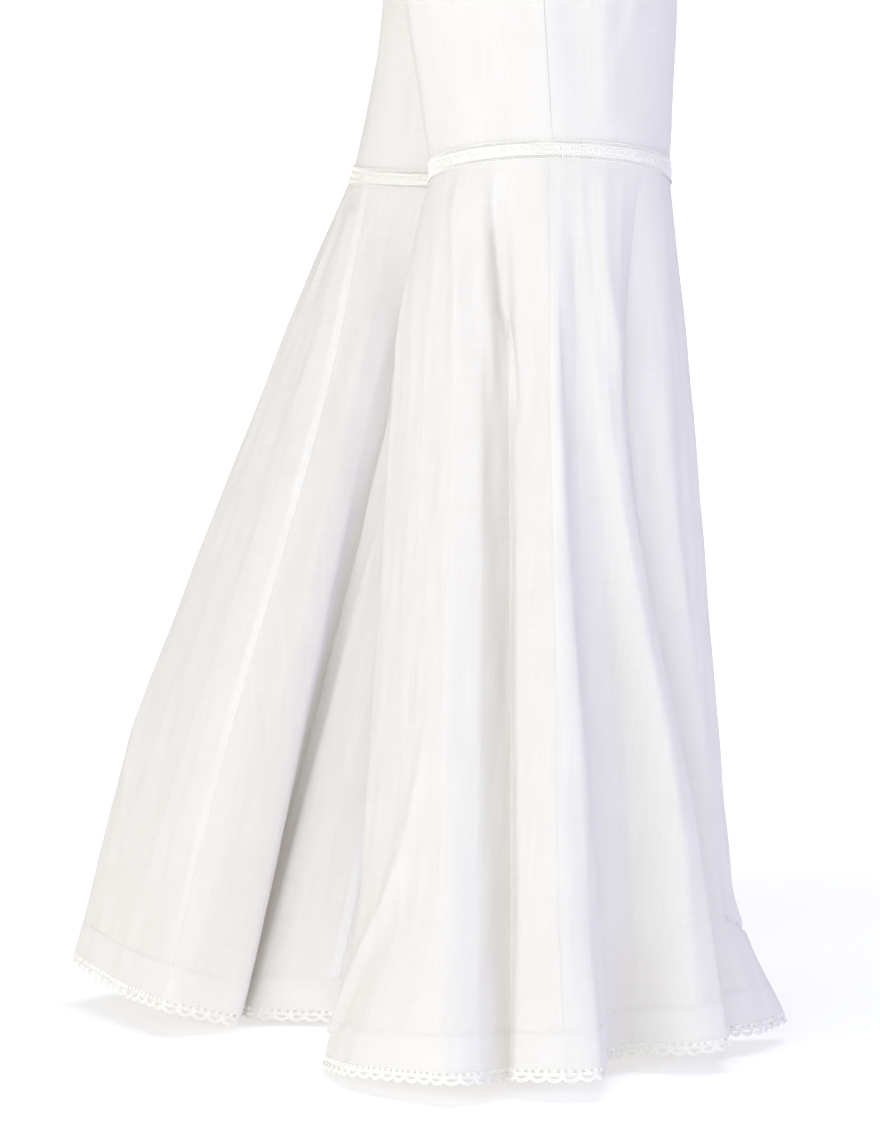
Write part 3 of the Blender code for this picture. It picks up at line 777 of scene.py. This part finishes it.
def shaped_flare(leg, downs, ring, starts):
    """Points and normals of a whole flare with its creases, gathers and puckered seams."""
    side = LEGS[leg].side
    points = flare_points(leg, downs, ring)
    normals = across_the_cloth(points, side, True)
    places = flat_places(points, closed=True)
    across, girth = places[:, :-1, 0], places[:, -1:, 0]
    down = (np.asarray(downs) * FLARE_LENGTH)[:, None]
    count = len(FOLDS[leg])

    def away(centre):
        turned = (ring[None, :] - centre[:, None] + count / 2) % count - count / 2
        order = np.argsort(ring % count)
        at = np.stack([np.interp(c % count, (ring % count)[order], row[order]) for c, row in zip(centre, across)])
        distance = (across - at[:, None] + girth / 2) % girth - girth / 2
        return np.where(np.abs(turned) < count / 4, distance, 1.0)

    lift = crease_lifts(np.asarray(downs), FLARE_CREASES[leg], away)
    phase = across / girth * 2 * math.pi
    lift += soft(down / WAVES_FULL_FROM) * waves(phase * 0.17 + 2 * side, down + np.zeros_like(across), CLOTH_WAVES)
    fold_angles = np.array([fold[1] for fold in FOLDS[leg]] + [FOLDS[leg][0][1] + 360.0])
    turn = np.radians(np.interp(ring, np.arange(count + 1), fold_angles))[None, :]
    lift += knee_gathers(leg, turn, down)
    for start in starts[:-1]:
        distance = (across - across[:, start : start + 1] + girth / 2) % girth - girth / 2
        shifted = down + 0.013 * start
        lift += seam_puckers(np.abs(distance), shifted) * soft(down / PUCKERS_FULL_FROM)
    near_hem = np.exp(-(((down - BAND_TOP * FLARE_LENGTH) / HEM_PUCKER_REACH) ** 2))
    uneven = np.sin(across / HEM_PUCKER_PITCH + 2.2 * np.sin(across / 0.017))
    lift += HEM_PUCKER * near_hem * uneven * (0.5 + 0.5 * np.sin(across / 0.043 + side))
    lift *= held_by_lace(down)
    points = points + normals * lift[..., None]
    return points, across_the_cloth(points, side, True)


# %% [markdown]
# Gores. Each is cut from the shaped ring between two seams. A hair's breadth is left open at a seam, which shows as
# the fine line that a real seam has.

# %% Gores
FLARE_ROWS = 170
BAND_ROWS = 13
LACE_ROWS = 5


def trimmed(points, gap):
    """Draws a grid's first and last columns in by gap."""
    points = points.copy()
    for edge, inside in ((0, 1), (-1, -2)):
        inward = points[:, inside] - points[:, edge]
        points[:, edge] += inward / np.linalg.norm(inward, axis=-1, keepdims=True) * gap
    return points


LEVELS = np.concatenate(
    [
        np.linspace(0.0, BAND_TOP, FLARE_ROWS),
        np.linspace(BAND_TOP, LACE_TOP, BAND_ROWS + 1)[1:],
        np.linspace(LACE_TOP, 1.0, LACE_ROWS + 1)[1:],
    ]
)
BAND_ROW = FLARE_ROWS - 1
LACE_ROW = BAND_ROW + BAND_ROWS
gore_pieces, band_pieces, hem_rings = {}, {}, {}
for leg in FOLDS:
    side = LEGS[leg].side
    ring, starts = ring_of(leg)
    points, normals = shaped_flare(leg, LEVELS, ring, starts)
    for number in range(1, len(starts)):
        columns = np.arange(starts[number - 1], starts[number] + 1) % len(ring)
        own, away = points[: BAND_ROW + 1, columns], normals[: BAND_ROW + 1, columns]
        name = f"{leg}_gore_{number}"
        piece = shell(f"{name}_cloth", trimmed(own, SEAM_GAP / 2), away, CLOTH, side, flat_places(own))
        gore_pieces[name] = (piece, own)
    hem_rings[leg] = (points[BAND_ROW:], normals[BAND_ROW:])
print("flares", round(time.time() - started, 1), "s")

# %% [markdown]
# Hem bands. The lower end of each flare is turned up and stitched, so the hem is two layers of cloth. It could be a
# ring of its own shape, but taken from the same shaped surface as the gores it follows their folds without a break.

# %% Hem bands
DOUBLED = 0.0009
for leg, (points, normals) in hem_rings.items():
    own, outward = points[: LACE_ROW - BAND_ROW + 1], normals[: LACE_ROW - BAND_ROW + 1]
    piece = shell(f"{leg}_hem_band_cloth", own, outward, DOUBLED, LEGS[leg].side, flat_places(own, True), closed=True)
    band_pieces[leg] = (piece, own)
print("hem bands", len(band_pieces))

# %% [markdown]
# Waistband. It is a doubled strip with elastic inside, so it stands out softly between its two rows of stitches and
# carries the same small gathers as the cloth below it. Above the upper row its edge is a narrow frill.

# %% Waistband
WAIST_COLUMNS = 520
WAIST_ROWS = 19
ELASTIC_BULGE = 0.0016
WAIST_SEAM_ROWS = (-0.0155, 0.0135)
SEAM_HOLD = 0.55
SEAM_HOLD_REACH = 0.0018
FRILL_RISE = 0.7
FRILL_REACH = 0.006


def waist_points(heights, turn):
    """The waistband's middle surface, with its gathers."""
    _, back, width, depth = (value[:, None] for value in upper_leg_section("right", heights))
    z = heights[:, None]
    low, high = WAIST_SEAM_ROWS
    between = np.clip((z - low) / (high - low), 0, 1)
    bulge = ELASTIC_BULGE * np.sin(between * math.pi) ** 0.6
    held = 1 - sum(SEAM_HOLD * np.exp(-(((z - seam) / SEAM_HOLD_REACH) ** 2)) for seam in WAIST_SEAM_ROWS)
    frill = 1 + FRILL_RISE * soft((z - high) / FRILL_REACH)
    out = bulge + WAIST_GATHER_HEIGHT * waist_gathers(turn) * held * frill
    return np.stack(
        [-(width + out) * np.cos(turn), back - (depth + out) * np.sin(turn), z * np.ones_like(turn)], axis=-1
    )


turn = np.linspace(0, 2 * math.pi, WAIST_COLUMNS, endpoint=False)[None, :]
heights = np.linspace(WAISTBAND_HEIGHT / 2, -WAISTBAND_HEIGHT / 2 + SEAM_GAP, WAIST_ROWS)
waist = waist_points(heights, turn)
waist_normals = across_the_cloth(waist, -1, True)
waistband = shell("waistband_cloth", waist, waist_normals, DOUBLED, -1, flat_places(waist, True), closed=True)
print("waistband", len(waistband.data.polygons), "faces")

# %% [markdown]
# Lace and stitches. A lace edging is one small figure worked over and over along a strip, and a row of stitches is
# the same with a simpler figure. So one Geometry Nodes recipe does both: it draws the figure's yarn as tubes, sets it
# many times along a flat strip, and then bends the strip onto the hem or the knee seam by the guide's flat map. Two
# small classes keep the recipe short. One adds a node and fills it, and the other is a wire that can be added,
# subtracted, multiplied and divided, with a maths node for each sign.

# %% Nodes and wires


class Recipe:
    """A node tree under construction, for a material or for geometry."""

    def __init__(self, tree):
        self.tree = tree

    def node(self, kind, settings=None, values=(), output=0, **named):
        """Adds a node with its settings, then fills its inputs, in order or by name with _ for a space."""
        node = self.tree.nodes.new(kind)
        for name, value in (settings or {}).items():
            setattr(node, name, value)
        for socket, value in zip(node.inputs, values):
            plug(self.tree, value, socket)
        for name, value in named.items():
            plug(self.tree, value, node.inputs[name.replace("_", " ")])
        return Wire(self.tree, node.outputs[output])

    def parts_of(self, vector):
        """The three parts of a place or a direction."""
        first = self.node("ShaderNodeSeparateXYZ", values=(vector,))
        return (Wire(self.tree, socket) for socket in first.socket.node.outputs)


class Wire:
    """A value, colour or geometry on its way through a tree."""

    def __init__(self, tree, socket):
        self.tree, self.socket = tree, socket

    def maths(self, operation, *values):
        node = self.tree.nodes.new("ShaderNodeMath")
        node.operation = operation
        for socket, value in zip(node.inputs, values):
            plug(self.tree, value, socket)
        return Wire(self.tree, node.outputs[0])

    def __add__(self, other):
        return self.maths("ADD", self, other)

    def __radd__(self, other):
        return self.maths("ADD", other, self)

    def __sub__(self, other):
        return self.maths("SUBTRACT", self, other)

    def __rsub__(self, other):
        return self.maths("SUBTRACT", other, self)

    def __mul__(self, other):
        return self.maths("MULTIPLY", self, other)

    def __rmul__(self, other):
        return self.maths("MULTIPLY", other, self)

    def __truediv__(self, other):
        return self.maths("DIVIDE", self, other)


def plug(tree, value, socket):
    """Puts a number, a colour or a wire into a socket."""
    if isinstance(value, Wire):
        tree.links.new(value.socket, socket)
    elif value is not None:
        socket.default_value = value


# %% [markdown]
# The tree itself. Its inputs are the guide, the drawn figure, how often it repeats, and the sizes of the figure, the
# strip and the yarn. It starts with the flat row of figures, and then sets each point at its own place on the guide
# and that far out from it. Realize Instances makes the row one mesh, and Set Material gives it the yarn.

# %% One tree for anything repeated along a strip
REPEAT_INPUTS = (
    ("Guide", "NodeSocketGeometry"),
    ("Figure", "NodeSocketObject"),
    ("Repeats", "NodeSocketInt"),
    ("Figure Width", "NodeSocketFloat"),
    ("Strip Height", "NodeSocketFloat"),
    ("Yarn Radius", "NodeSocketFloat"),
    ("Yarn Sides", "NodeSocketInt"),
    ("Yarn", "NodeSocketMaterial"),
)


def strip_of_figures():
    """Builds the tree that works a figure along a strip and bends it onto the guide."""
    tree = bpy.data.node_groups.new("figure along a strip", "GeometryNodeTree")
    for name, kind in REPEAT_INPUTS:
        tree.interface.new_socket(name, in_out="INPUT", socket_type=kind)
    tree.interface.new_socket("Geometry", in_out="OUTPUT", socket_type="NodeSocketGeometry")
    recipe = Recipe(tree)
    given = tree.nodes.new("NodeGroupInput")
    given = [Wire(tree, socket) for socket in given.outputs[: len(REPEAT_INPUTS)]]
    guide, figure, repeats, wide, high, radius, sides, yarn = given

    drawn = recipe.node("GeometryNodeObjectInfo", output=4, Object=figure)
    section = recipe.node("GeometryNodeCurvePrimitiveCircle", Resolution=sides, Radius=radius)
    worked = recipe.node("GeometryNodeCurveToMesh", Curve=drawn, Profile_Curve=section, Fill_Caps=True)
    step = recipe.node("ShaderNodeCombineXYZ", X=wide)
    line = recipe.node("GeometryNodeMeshLine", Count=repeats, Offset=step)
    row = recipe.node("GeometryNodeInstanceOnPoints", Points=line, Instance=worked)
    flat = recipe.node("GeometryNodeRealizeInstances", Geometry=row)

    across, down, out = recipe.parts_of(recipe.node("GeometryNodeInputPosition"))
    share = across / (wide * repeats)
    share = share.maths("FRACT", share)
    fall = across.maths("MINIMUM", across.maths("MAXIMUM", down / high, 0.001), 0.999)
    spot = recipe.node("ShaderNodeCombineXYZ", X=share, Y=fall)
    vector = {"data_type": "FLOAT_VECTOR"}
    strip = recipe.node("GeometryNodeInputNamedAttribute", vector, Name="strip")
    outward = recipe.node("GeometryNodeInputNamedAttribute", vector, Name="outward")
    position = recipe.node("GeometryNodeInputPosition")
    base, away = (
        recipe.node("GeometryNodeSampleUVSurface", vector, Mesh=guide, Value=value, UV_Map=strip, Sample_UV=spot)
        for value in (position, outward)
    )
    raised = recipe.node("ShaderNodeVectorMath", {"operation": "SCALE"}, Vector=away, Scale=out)
    place = recipe.node("ShaderNodeVectorMath", {"operation": "ADD"}, (base, raised))
    bent = recipe.node("GeometryNodeSetPosition", Geometry=flat, Position=place)
    smooth = recipe.node("GeometryNodeSetShadeSmooth", values=(bent, True, True))
    finished = recipe.node("GeometryNodeSetMaterial", Geometry=smooth, Material=yarn)
    tree.links.new(finished.socket, tree.nodes.new("NodeGroupOutput").inputs[0])
    return tree


REPEAT = strip_of_figures()

# %% [markdown]
# A guide is the strip of cloth that the lace is sewn to. It has its own flat map, from 0 to 1 round the garment and
# from 0 to 1 down the lace, so the figures lie evenly however deep the folds are.

# %% The guide


def guide_strip(name, points, outward):
    """A closed strip to bend onto, with its flat map and its outward direction. Its last column meets its first."""
    loop = np.concatenate([points, points[:, :1]], axis=1)
    away = np.concatenate([outward, outward[:, :1]], axis=1)
    rows, columns = loop.shape[:2]
    along = np.linalg.norm(np.diff(loop[rows // 2], axis=0), axis=-1)
    share = np.concatenate([[0.0], np.cumsum(along)]) / along.sum()
    i, j = (grid.ravel() for grid in np.mgrid[0 : rows - 1, 0 : columns - 1])
    cells = [(i, j), (i, j + 1), (i + 1, j + 1), (i + 1, j)]
    mesh = bpy.data.meshes.new(name)
    faces = np.stack([a * columns + b for a, b in cells], 1)
    mesh.from_pydata(loop.reshape(-1, 3).tolist(), [], faces.tolist())
    layer = mesh.uv_layers.new(name="strip")
    flat = np.stack([np.stack([share[b], a / (rows - 1)], 1) for a, b in cells], 1)
    layer.data.foreach_set("uv", flat.reshape(-1).astype(np.float32))
    attribute = mesh.attributes.new("outward", "FLOAT_VECTOR", "POINT")
    attribute.data.foreach_set("vector", away.reshape(-1).astype(np.float32))
    return mesh, float(along.sum())


# %% [markdown]
# A figure is the path of each yarn in one repeat, drawn as a curve. The tree makes it round, works it along and gives
# back a plain mesh.

# %% Figures, and the work along a guide


def draw_figure(name, yarns):
    """A curve object with one spline for each yarn. A yarn is its points in mm and whether it closes."""
    drawing = bpy.data.curves.new(name, "CURVE")
    drawing.dimensions = "3D"
    for points, closed in yarns:
        spline = drawing.splines.new("POLY")
        spline.points.add(len(points) - 1)
        for place, point in zip(spline.points, points):
            x, y, z = (*point, 0.0)[:3]
            place.co = (x / 1000, y / 1000, z / 1000, 1.0)
        spline.use_cyclic_u = closed
    figure = bpy.data.objects.new(name, drawing)
    bpy.context.collection.objects.link(figure)
    return figure


def work_along(name, points, outward, figure, pitch, height, radius, finish, sides=4):
    """Works a figure round a closed strip and returns it as a plain mesh object."""
    mesh, girth = guide_strip(name, points, outward)
    guide = bpy.data.objects.new(name, mesh)
    bpy.context.collection.objects.link(guide)
    modifier = guide.modifiers.new("figure along a strip", "NODES")
    modifier.node_group = REPEAT
    repeats = round(girth / pitch)
    values = (figure, repeats, pitch, height, radius, sides, finish)
    for (label, _), value in zip(REPEAT_INPUTS[1:], values):
        modifier[REPEAT.interface.items_tree[label].identifier] = value
    evaluated = guide.evaluated_get(bpy.context.evaluated_depsgraph_get())
    result = bpy.data.meshes.new_from_object(evaluated)
    guide.modifiers.remove(modifier)
    guide.data = result
    result.name = name
    print(name, repeats, "repeats", len(result.polygons), "faces")
    return guide


# %% [markdown]
# The hem lace is a cotton crochet edging. Under the band runs a chain, then groups of three trebles that leave a row
# of small holes, and a second chain. Below it each scallop is a closely worked fan with a row of pin holes near its
# rim, and the rim itself is a cord with tiny loops.

# %% Figure of the hem lace, in mm
SCALLOP = 10.2
SCALLOP_END = 7.6
SCALLOP_DROP = 3.9
POST_TOP = 0.7
POST_END = 3.9
PIN_HOLES = 8


def scallop_rim(inside, steps, ripple=0.0, ripples=0):
    """The scalloped line at a distance inside the rim, left to right, with small loops along it if asked."""
    points = []
    for step in range(steps + 1):
        share = step / steps
        more = ripple * abs(math.sin(math.pi * share * ripples))
        rise = math.sin(math.pi * share) ** 0.8
        points.append((SCALLOP * share, SCALLOP_END + SCALLOP_DROP * rise - inside + more))
    return points


def post(start, lean, at_top, at_end):
    """A treble that stands on the chain and leans one way."""
    return [(start + lean * at_top, POST_TOP), (start + lean * at_end, POST_END)], False


def hem_lace_yarns():
    """A chain, posts with wedge holes between them, closely worked rows, pin holes, and a rim of small loops."""
    yarns = [([(SCALLOP * k / 4, 0.4 + 0.12 * (k % 2)) for k in range(5)], False)]
    for start, lean in ((0.0, 1), (SCALLOP, -1)):
        yarns += [post(start, lean, 0.0, 0.5), post(start, lean, 0.75, 1.5)]
    for lean in (-1, 1):
        yarns += [post(SCALLOP / 2, lean, 0.25, 0.35), post(SCALLOP / 2, lean, 0.9, 1.9)]
    for row in range(4):
        yarns.append(([(SCALLOP * k / 3, 3.3 + 0.72 * row + 0.08 * (k % 2)) for k in range(4)], False))
    for inside in (3.0, 2.3):
        yarns.append((scallop_rim(inside, 8), False))
    inner, outer = scallop_rim(2.1, PIN_HOLES), scallop_rim(0.3, PIN_HOLES)
    for top, bottom in zip(inner[:-1], outer[:-1]):
        yarns.append(([top, bottom], False))
    yarns.append((scallop_rim(0.85, 8), False))
    yarns.append((scallop_rim(0.15, 16, ripple=0.3, ripples=8), False))
    return yarns


# %% [markdown]
# The knee lace is a narrow galloon, the same on both edges: close rows in the middle with a raised ring on them, a
# row of eyelets to each side and a wavy cord on the edges.

# %% Figure of the knee lace, in mm
GALLOON = 6.0
GALLOON_MIDDLE = 6.0
EYELET = 0.95
EYELET_ROWS = (1.95, 10.05)
EDGE_ROWS = (0.65, 11.35)
CLOSE_ROWS = np.linspace(2.9, 9.1, 9)
FLOWER = 1.4


def ring_yarn(x, y, radius, steps, out=0.0):
    """A closed loop of yarn."""
    turns = [2 * math.pi * k / steps for k in range(steps)]
    return [(x + radius * math.cos(turn), y + radius * math.sin(turn), out) for turn in turns], True


def knee_lace_yarns():
    """Close rows down the middle with a raised ring, a row of eyelets to each side, and a wavy cord on both edges."""
    yarns = []
    for number, y in enumerate(CLOSE_ROWS):
        yarns.append(([(GALLOON * k / 2, y + 0.1 * ((k + number) % 2)) for k in range(3)], False))
    yarns.append(ring_yarn(GALLOON / 2, GALLOON_MIDDLE, FLOWER, 8, out=0.45))
    for y, edge in zip(EYELET_ROWS, EDGE_ROWS):
        for x in (GALLOON * 0.25, GALLOON * 0.75):
            yarns.append(ring_yarn(x, y, EYELET, 8))
        way = 1 if edge > y else -1
        wave = [(GALLOON * k / 12, edge + way * 0.5 * abs(math.sin(math.pi * k / 6))) for k in range(13)]
        yarns.append((wave, False))
    return yarns


# %% [markdown]
# Stitches. Each row is a line of short threads that dip into the cloth at both ends. A dashed stripe in the finish
# would be quicker, but real stitches stand up and catch the light.

# %% Stitch figures, in mm
STITCH_PITCH = 2.8
stitch_yarns = [([(0.3, 1.5, -0.12), (1.3, 1.5, 0.10), (2.3, 1.5, -0.12)], False)]

# %% [markdown]
# Where the lace goes. The hem lace continues the flare below the band. The knee lace lies over the knee seam, half on
# the upper leg and half on the flare, a millimetre off the cloth so that its yarn doesn't sink in. Its guide is made
# from the smooth forms of both, because a galloon is too stiff to follow the small gathers under it.

# %% Lace round the hems and the knees
YARN = 0.00040
KNEE_LACE_LIFT = 0.0011
KNEE_STRIP_ROWS = 7
STITCH_STRIP = 0.003
THREAD = 0.00016


def facing_right_way(points, normals, side):
    """Turns a ring's order on the right leg, so that across, down and outward keep the same handedness."""
    return (points, normals) if side > 0 else (points[:, ::-1], normals[:, ::-1])


def knee_strip(leg, heights, ring):
    """The middle of the cloth just above and below the knee seam, and its outward direction."""
    side = LEGS[leg].side
    out, back, width, depth = knee_section(leg)
    at_seam = flare_points(leg, [0.0], ring)[0]
    turn = np.degrees(np.arctan2((back - at_seam[:, 1]) / depth, (side * at_seam[:, 0] - out) / width))
    rows = []
    for height in heights:
        if height >= 0:
            rows.append(upper_leg_points(leg, np.array([KNEE_HEIGHT + height]), turn[None, :])[0])
        else:
            rows.append(flare_points(leg, [-height / FLARE_LENGTH], ring)[0])
    points = np.stack(rows)
    across = np.roll(points, -1, axis=1) - np.roll(points, 1, axis=1)
    outward = np.stack([-across[..., 1], across[..., 0], np.zeros_like(across[..., 0])], axis=-1)
    outward /= np.linalg.norm(outward, axis=-1, keepdims=True)
    centre = points.mean(axis=(0, 1))
    if ((points - centre) * outward).sum() < 0:
        outward = -outward
    return points, outward


# %% [markdown]
# Finishes. Shader maths reads best as a sum, so the wires that built the lace's recipe serve here too. Two threads
# make a plain weave, one down the cloth and one across it, and neither is even: thick places show as faint streaks
# both ways. The streaks follow the flat map, so they run down each gore as its warp does.

# %% Finishes


class Finish(Recipe):
    """A material under construction."""

    def __init__(self, name):
        self.material = bpy.data.materials.new(name)
        self.material.use_nodes = True
        super().__init__(self.material.node_tree)
        self.tree.nodes.clear()

    def mix(self, factor, a, b):
        """Colour a where factor is 0, and b where it is 1."""
        node = self.tree.nodes.new("ShaderNodeMix")
        node.data_type = "RGBA"
        for name, value in (("Factor_Float", factor), ("A_Color", a), ("B_Color", b)):
            socket = next(s for s in node.inputs if s.identifier == name)
            plug(self.tree, value, socket)
        return Wire(self.tree, next(s for s in node.outputs if s.identifier == "Result_Color"))

    def noise(self, place, scale, detail):
        return self.node("ShaderNodeTexNoise", Vector=place, Scale=scale, Detail=detail)

    def step(self, value, low, high):
        """0 where value is under low, 1 over high, and smooth between."""
        return self.node(
            "ShaderNodeMapRange", {"interpolation_type": "SMOOTHSTEP"}, Value=value, From_Min=low, From_Max=high
        )

    def surface(self, shader):
        output = self.tree.nodes.new("ShaderNodeOutputMaterial")
        plug(self.tree, shader, output.inputs["Surface"])
        return self.material


# %% [markdown]
# Cotton cambric is matt and lets light through. A plain white surface would look like plaster, so a part of it is
# translucent. The allowance beside each gore seam is a second layer, which shows as a pale strip. Its paleness is
# painted into the colour, partly for the second layer and partly as painted light: it is painted strongest on the
# trailing leg, for the light that comes through the cloth there, and faint on the leading one.

# %% Cotton
ALLOWANCE = 0.0066
WEAVE_PITCH = 0.0009
WARP_STREAK = 0.055
WEFT_STREAK = 0.030
CLOUDS_A_METRE = 22.0
ONE_LAYER = (0.925, 0.906, 0.865, 1.0)
THICK_THREADS = (0.960, 0.944, 0.908, 1.0)
SEVERAL_LAYERS = (0.968, 0.954, 0.922, 1.0)
WARM_THROUGH = (0.960, 0.890, 0.780, 1.0)
LET_THROUGH = 0.38
STRIP_WHITER = 0.6
STRIP_DENSER = 0.2
STRIP_SHARE_WITHOUT_PAINTED_BACKLIGHT = 0.25


def cotton_finish(name, layers):
    """White cambric. layers is 1 for a single cloth with an allowance pressed to one side, 2 for a doubled one."""
    finish = Finish(name)
    flat = finish.node("ShaderNodeUVMap", {"uv_map": "flat cloth"})
    across, down, _ = finish.parts_of(flat)

    def threads(along, over, length, seed):
        place = finish.node("ShaderNodeCombineXYZ", X=along / length, Y=over / WEAVE_PITCH, Z=seed)
        return finish.noise(place, 1.0, 1.0)

    warp = threads(down, across, WARP_STREAK, 3.0)
    weft = threads(across, down, WEFT_STREAK, 8.0)
    cloud = finish.noise(flat, CLOUDS_A_METRE, 1.0)
    uneven = warp * 0.5 + weft * 0.35 + cloud * 0.15
    thick = finish.step(uneven, 0.34, 0.70)
    colour = finish.mix(thick, ONE_LAYER, THICK_THREADS)
    through = LET_THROUGH * (1.08 - thick * 0.16)
    if layers == 1:
        edge = 1 - finish.step(across, ALLOWANCE - 0.0005, ALLOWANCE + 0.0005)
        # Painted light: the allowance strip is painted paler on the trailing leg, where light comes through the cloth,
        # and fainter on the leading one.
        sideways, _, _ = finish.parts_of(finish.node("ShaderNodeTexCoord", output=3))
        trailing = finish.step(sideways, -0.02, 0.02)
        edge = edge * (STRIP_SHARE_WITHOUT_PAINTED_BACKLIGHT + trailing * (1 - STRIP_SHARE_WITHOUT_PAINTED_BACKLIGHT))
        colour = finish.mix(edge * STRIP_WHITER, colour, SEVERAL_LAYERS)
        through = through * (1 - edge * STRIP_DENSER)
    else:
        through = through * 0.9
    relief = finish.node("ShaderNodeBump", Strength=0.35, Distance=0.0004, Height=uneven)
    body = finish.node(
        "ShaderNodeBsdfPrincipled", Base_Color=colour, Roughness=0.9, Normal=relief, Specular_IOR_Level=0.15
    )
    glow = finish.node("ShaderNodeBsdfTranslucent", Color=finish.mix(0.15, colour, WARM_THROUGH))
    return finish.surface(finish.node("ShaderNodeMixShader", values=(through, body, glow)))


cotton = cotton_finish("cotton cambric", layers=1)
doubled_cotton = cotton_finish("doubled cotton cambric", layers=2)

# %% [markdown]
# Yarn. The lace and the thread are the same soft cotton, creamier than the cloth. Fibres would be far too many to
# make, so a fuzz as fine as the yarn's twist roughens its surface.

# %% Yarn
YARN_WHITE = (0.955, 0.935, 0.875, 1.0)
YARN_SHADE = (0.915, 0.890, 0.820, 1.0)
PATCHES_A_METRE = 60.0


def yarn_finish(name, twist):
    """Soft cotton yarn. twist is the length of one turn of its plies."""
    finish = Finish(name)
    place = finish.node("ShaderNodeTexCoord", output=3)
    fuzz = finish.noise(place, 1 / twist, 2.0)
    patch = finish.noise(place, PATCHES_A_METRE, 2.0)
    colour = finish.mix(finish.step(fuzz * 0.6 + patch * 0.4, 0.35, 0.6), YARN_SHADE, YARN_WHITE)
    relief = finish.node("ShaderNodeBump", Strength=0.6, Distance=0.0002, Height=fuzz)
    body = finish.node(
        "ShaderNodeBsdfPrincipled", Base_Color=colour, Roughness=0.85, Normal=relief, Specular_IOR_Level=0.2
    )
    return finish.surface(body)


lace_yarn = yarn_finish("lace yarn", twist=0.0006)
sewing_thread = yarn_finish("sewing thread", twist=0.0003)

# %% [markdown]
# The lace is worked once round each hem and each knee, and one row of stitches along the top of each hem band. The
# drawings of the figures aren't part of the garment, so they go when the work is done.

# %% Work the lace and the stitches
scallop = draw_figure("scallop", hem_lace_yarns())
galloon = draw_figure("galloon", knee_lace_yarns())
stitch = draw_figure("stitch", stitch_yarns)
lace_pieces, knee_pieces, stitch_rows = {}, {}, {}
for leg, (points, normals) in hem_rings.items():
    side = LEGS[leg].side
    strip, away = facing_right_way(points[LACE_ROW - BAND_ROW :], normals[LACE_ROW - BAND_ROW :], side)
    name = f"{leg}_hem_lace_yarn"
    lace_pieces[leg] = work_along(name, strip, away, scallop, SCALLOP / 1000, HEM_LACE_HEIGHT, YARN, lace_yarn)

    heights = KNEE_LACE_HEIGHT * np.linspace(0.5, -0.5, KNEE_STRIP_ROWS)
    strip, away = knee_strip(leg, heights, ring_of(leg)[0])
    strip, away = facing_right_way(strip + away * KNEE_LACE_LIFT, away, side)
    name = f"{leg}_knee_lace_yarn"
    knee_pieces[leg] = work_along(name, strip, away, galloon, GALLOON / 1000, KNEE_LACE_HEIGHT, YARN, lace_yarn)

    levels = BAND_TOP + np.array([0.0, 1.0]) * STITCH_STRIP / FLARE_LENGTH
    whole, outward = shaped_flare(leg, levels, *ring_of(leg))
    strip, away = facing_right_way(whole + outward * DOUBLED / 2, outward, side)
    name = f"{leg}_hem_band_stitches"
    pitch = STITCH_PITCH / 1000
    stitch_rows[leg] = work_along(name, strip, away, stitch, pitch, STITCH_STRIP, THREAD, sewing_thread, sides=3)
for figure in (scallop, galloon, stitch):
    bpy.data.objects.remove(figure)
print("lace and stitches", round(time.time() - started, 1), "s")

# %% [markdown]
# Floor paper. Lamps could whiten it, but they would bleach the garment too. So the paper glows, though it is no lamp:
# its whiteness is painted light, full behind the garment, where it fills the view with white, and weaker under the
# hem, so that the garment still throws a shadow. Its glow reaches the cloth by bounced light alone, which looks the
# same as a lamp there and renders faster.

# %% Floor paper
PAINTED_GLOW_UNDER_THE_HEM = 0.34
PAPER_WHITE = (0.95, 0.95, 0.95, 1.0)
paper = Finish("floor paper")
ahead, aside, _ = paper.parts_of(paper.node("ShaderNodeTexCoord", output=3))
aside = aside.maths("ABSOLUTE", aside)
# Painted light: the floor's glow is full behind the garment and weaker under the hem, where the garment's shadow falls.
behind = paper.step(ahead, 0.5, 2.0) * (1 - paper.step(aside, 1.3, 2.6))
glow = paper.mix(behind, (PAINTED_GLOW_UNDER_THE_HEM,) * 3 + (1.0,), (1.0, 1.0, 1.0, 1.0))
lit = paper.node(
    "ShaderNodeBsdfPrincipled", Base_Color=PAPER_WHITE, Roughness=0.95, Emission_Color=glow,
    Emission_Strength=1.0, Specular_IOR_Level=0.0,
)
paper.material.cycles.emission_sampling = "NONE"
floor.data.materials.append(paper.surface(lit))
print("finishes", [finish.name for finish in bpy.data.materials])

# %% [markdown]
# What each piece is: the solid it stands for in the imported model, its body and its slot. The waistband's strip is
# long enough to pass the hips before the elastic gathers it.

# %% Places in the model
CLOTHS = {"cotton": cotton, "doubled_cotton": doubled_cotton}


def belongs(piece, node):
    """Gives a piece its place in the model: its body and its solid."""
    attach(piece, "root")
    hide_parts(node)


def declare(piece, node, slot):
    """Gives a flat piece its place and its cloth."""
    piece.data.materials.append(CLOTHS[slot])
    belongs(piece, node)


for name, (piece, points) in upper_pieces.items():
    declare(piece, name, "cotton")
for name, (piece, points) in gore_pieces.items():
    declare(piece, name, "cotton")
for leg, (piece, points) in band_pieces.items():
    declare(piece, f"{leg}_hem_band", "doubled_cotton")
waistband.data.materials.append(doubled_cotton)
belongs(waistband, "waistband")
for pieces, node in ((lace_pieces, "hem_lace"), (knee_pieces, "knee_lace")):
    for leg, piece in pieces.items():
        belongs(piece, f"{leg}_{node}")
for piece in stitch_rows.values():
    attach(piece, "root")

# %% Close
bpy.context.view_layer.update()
print("made in", round(time.time() - started, 1), "s")
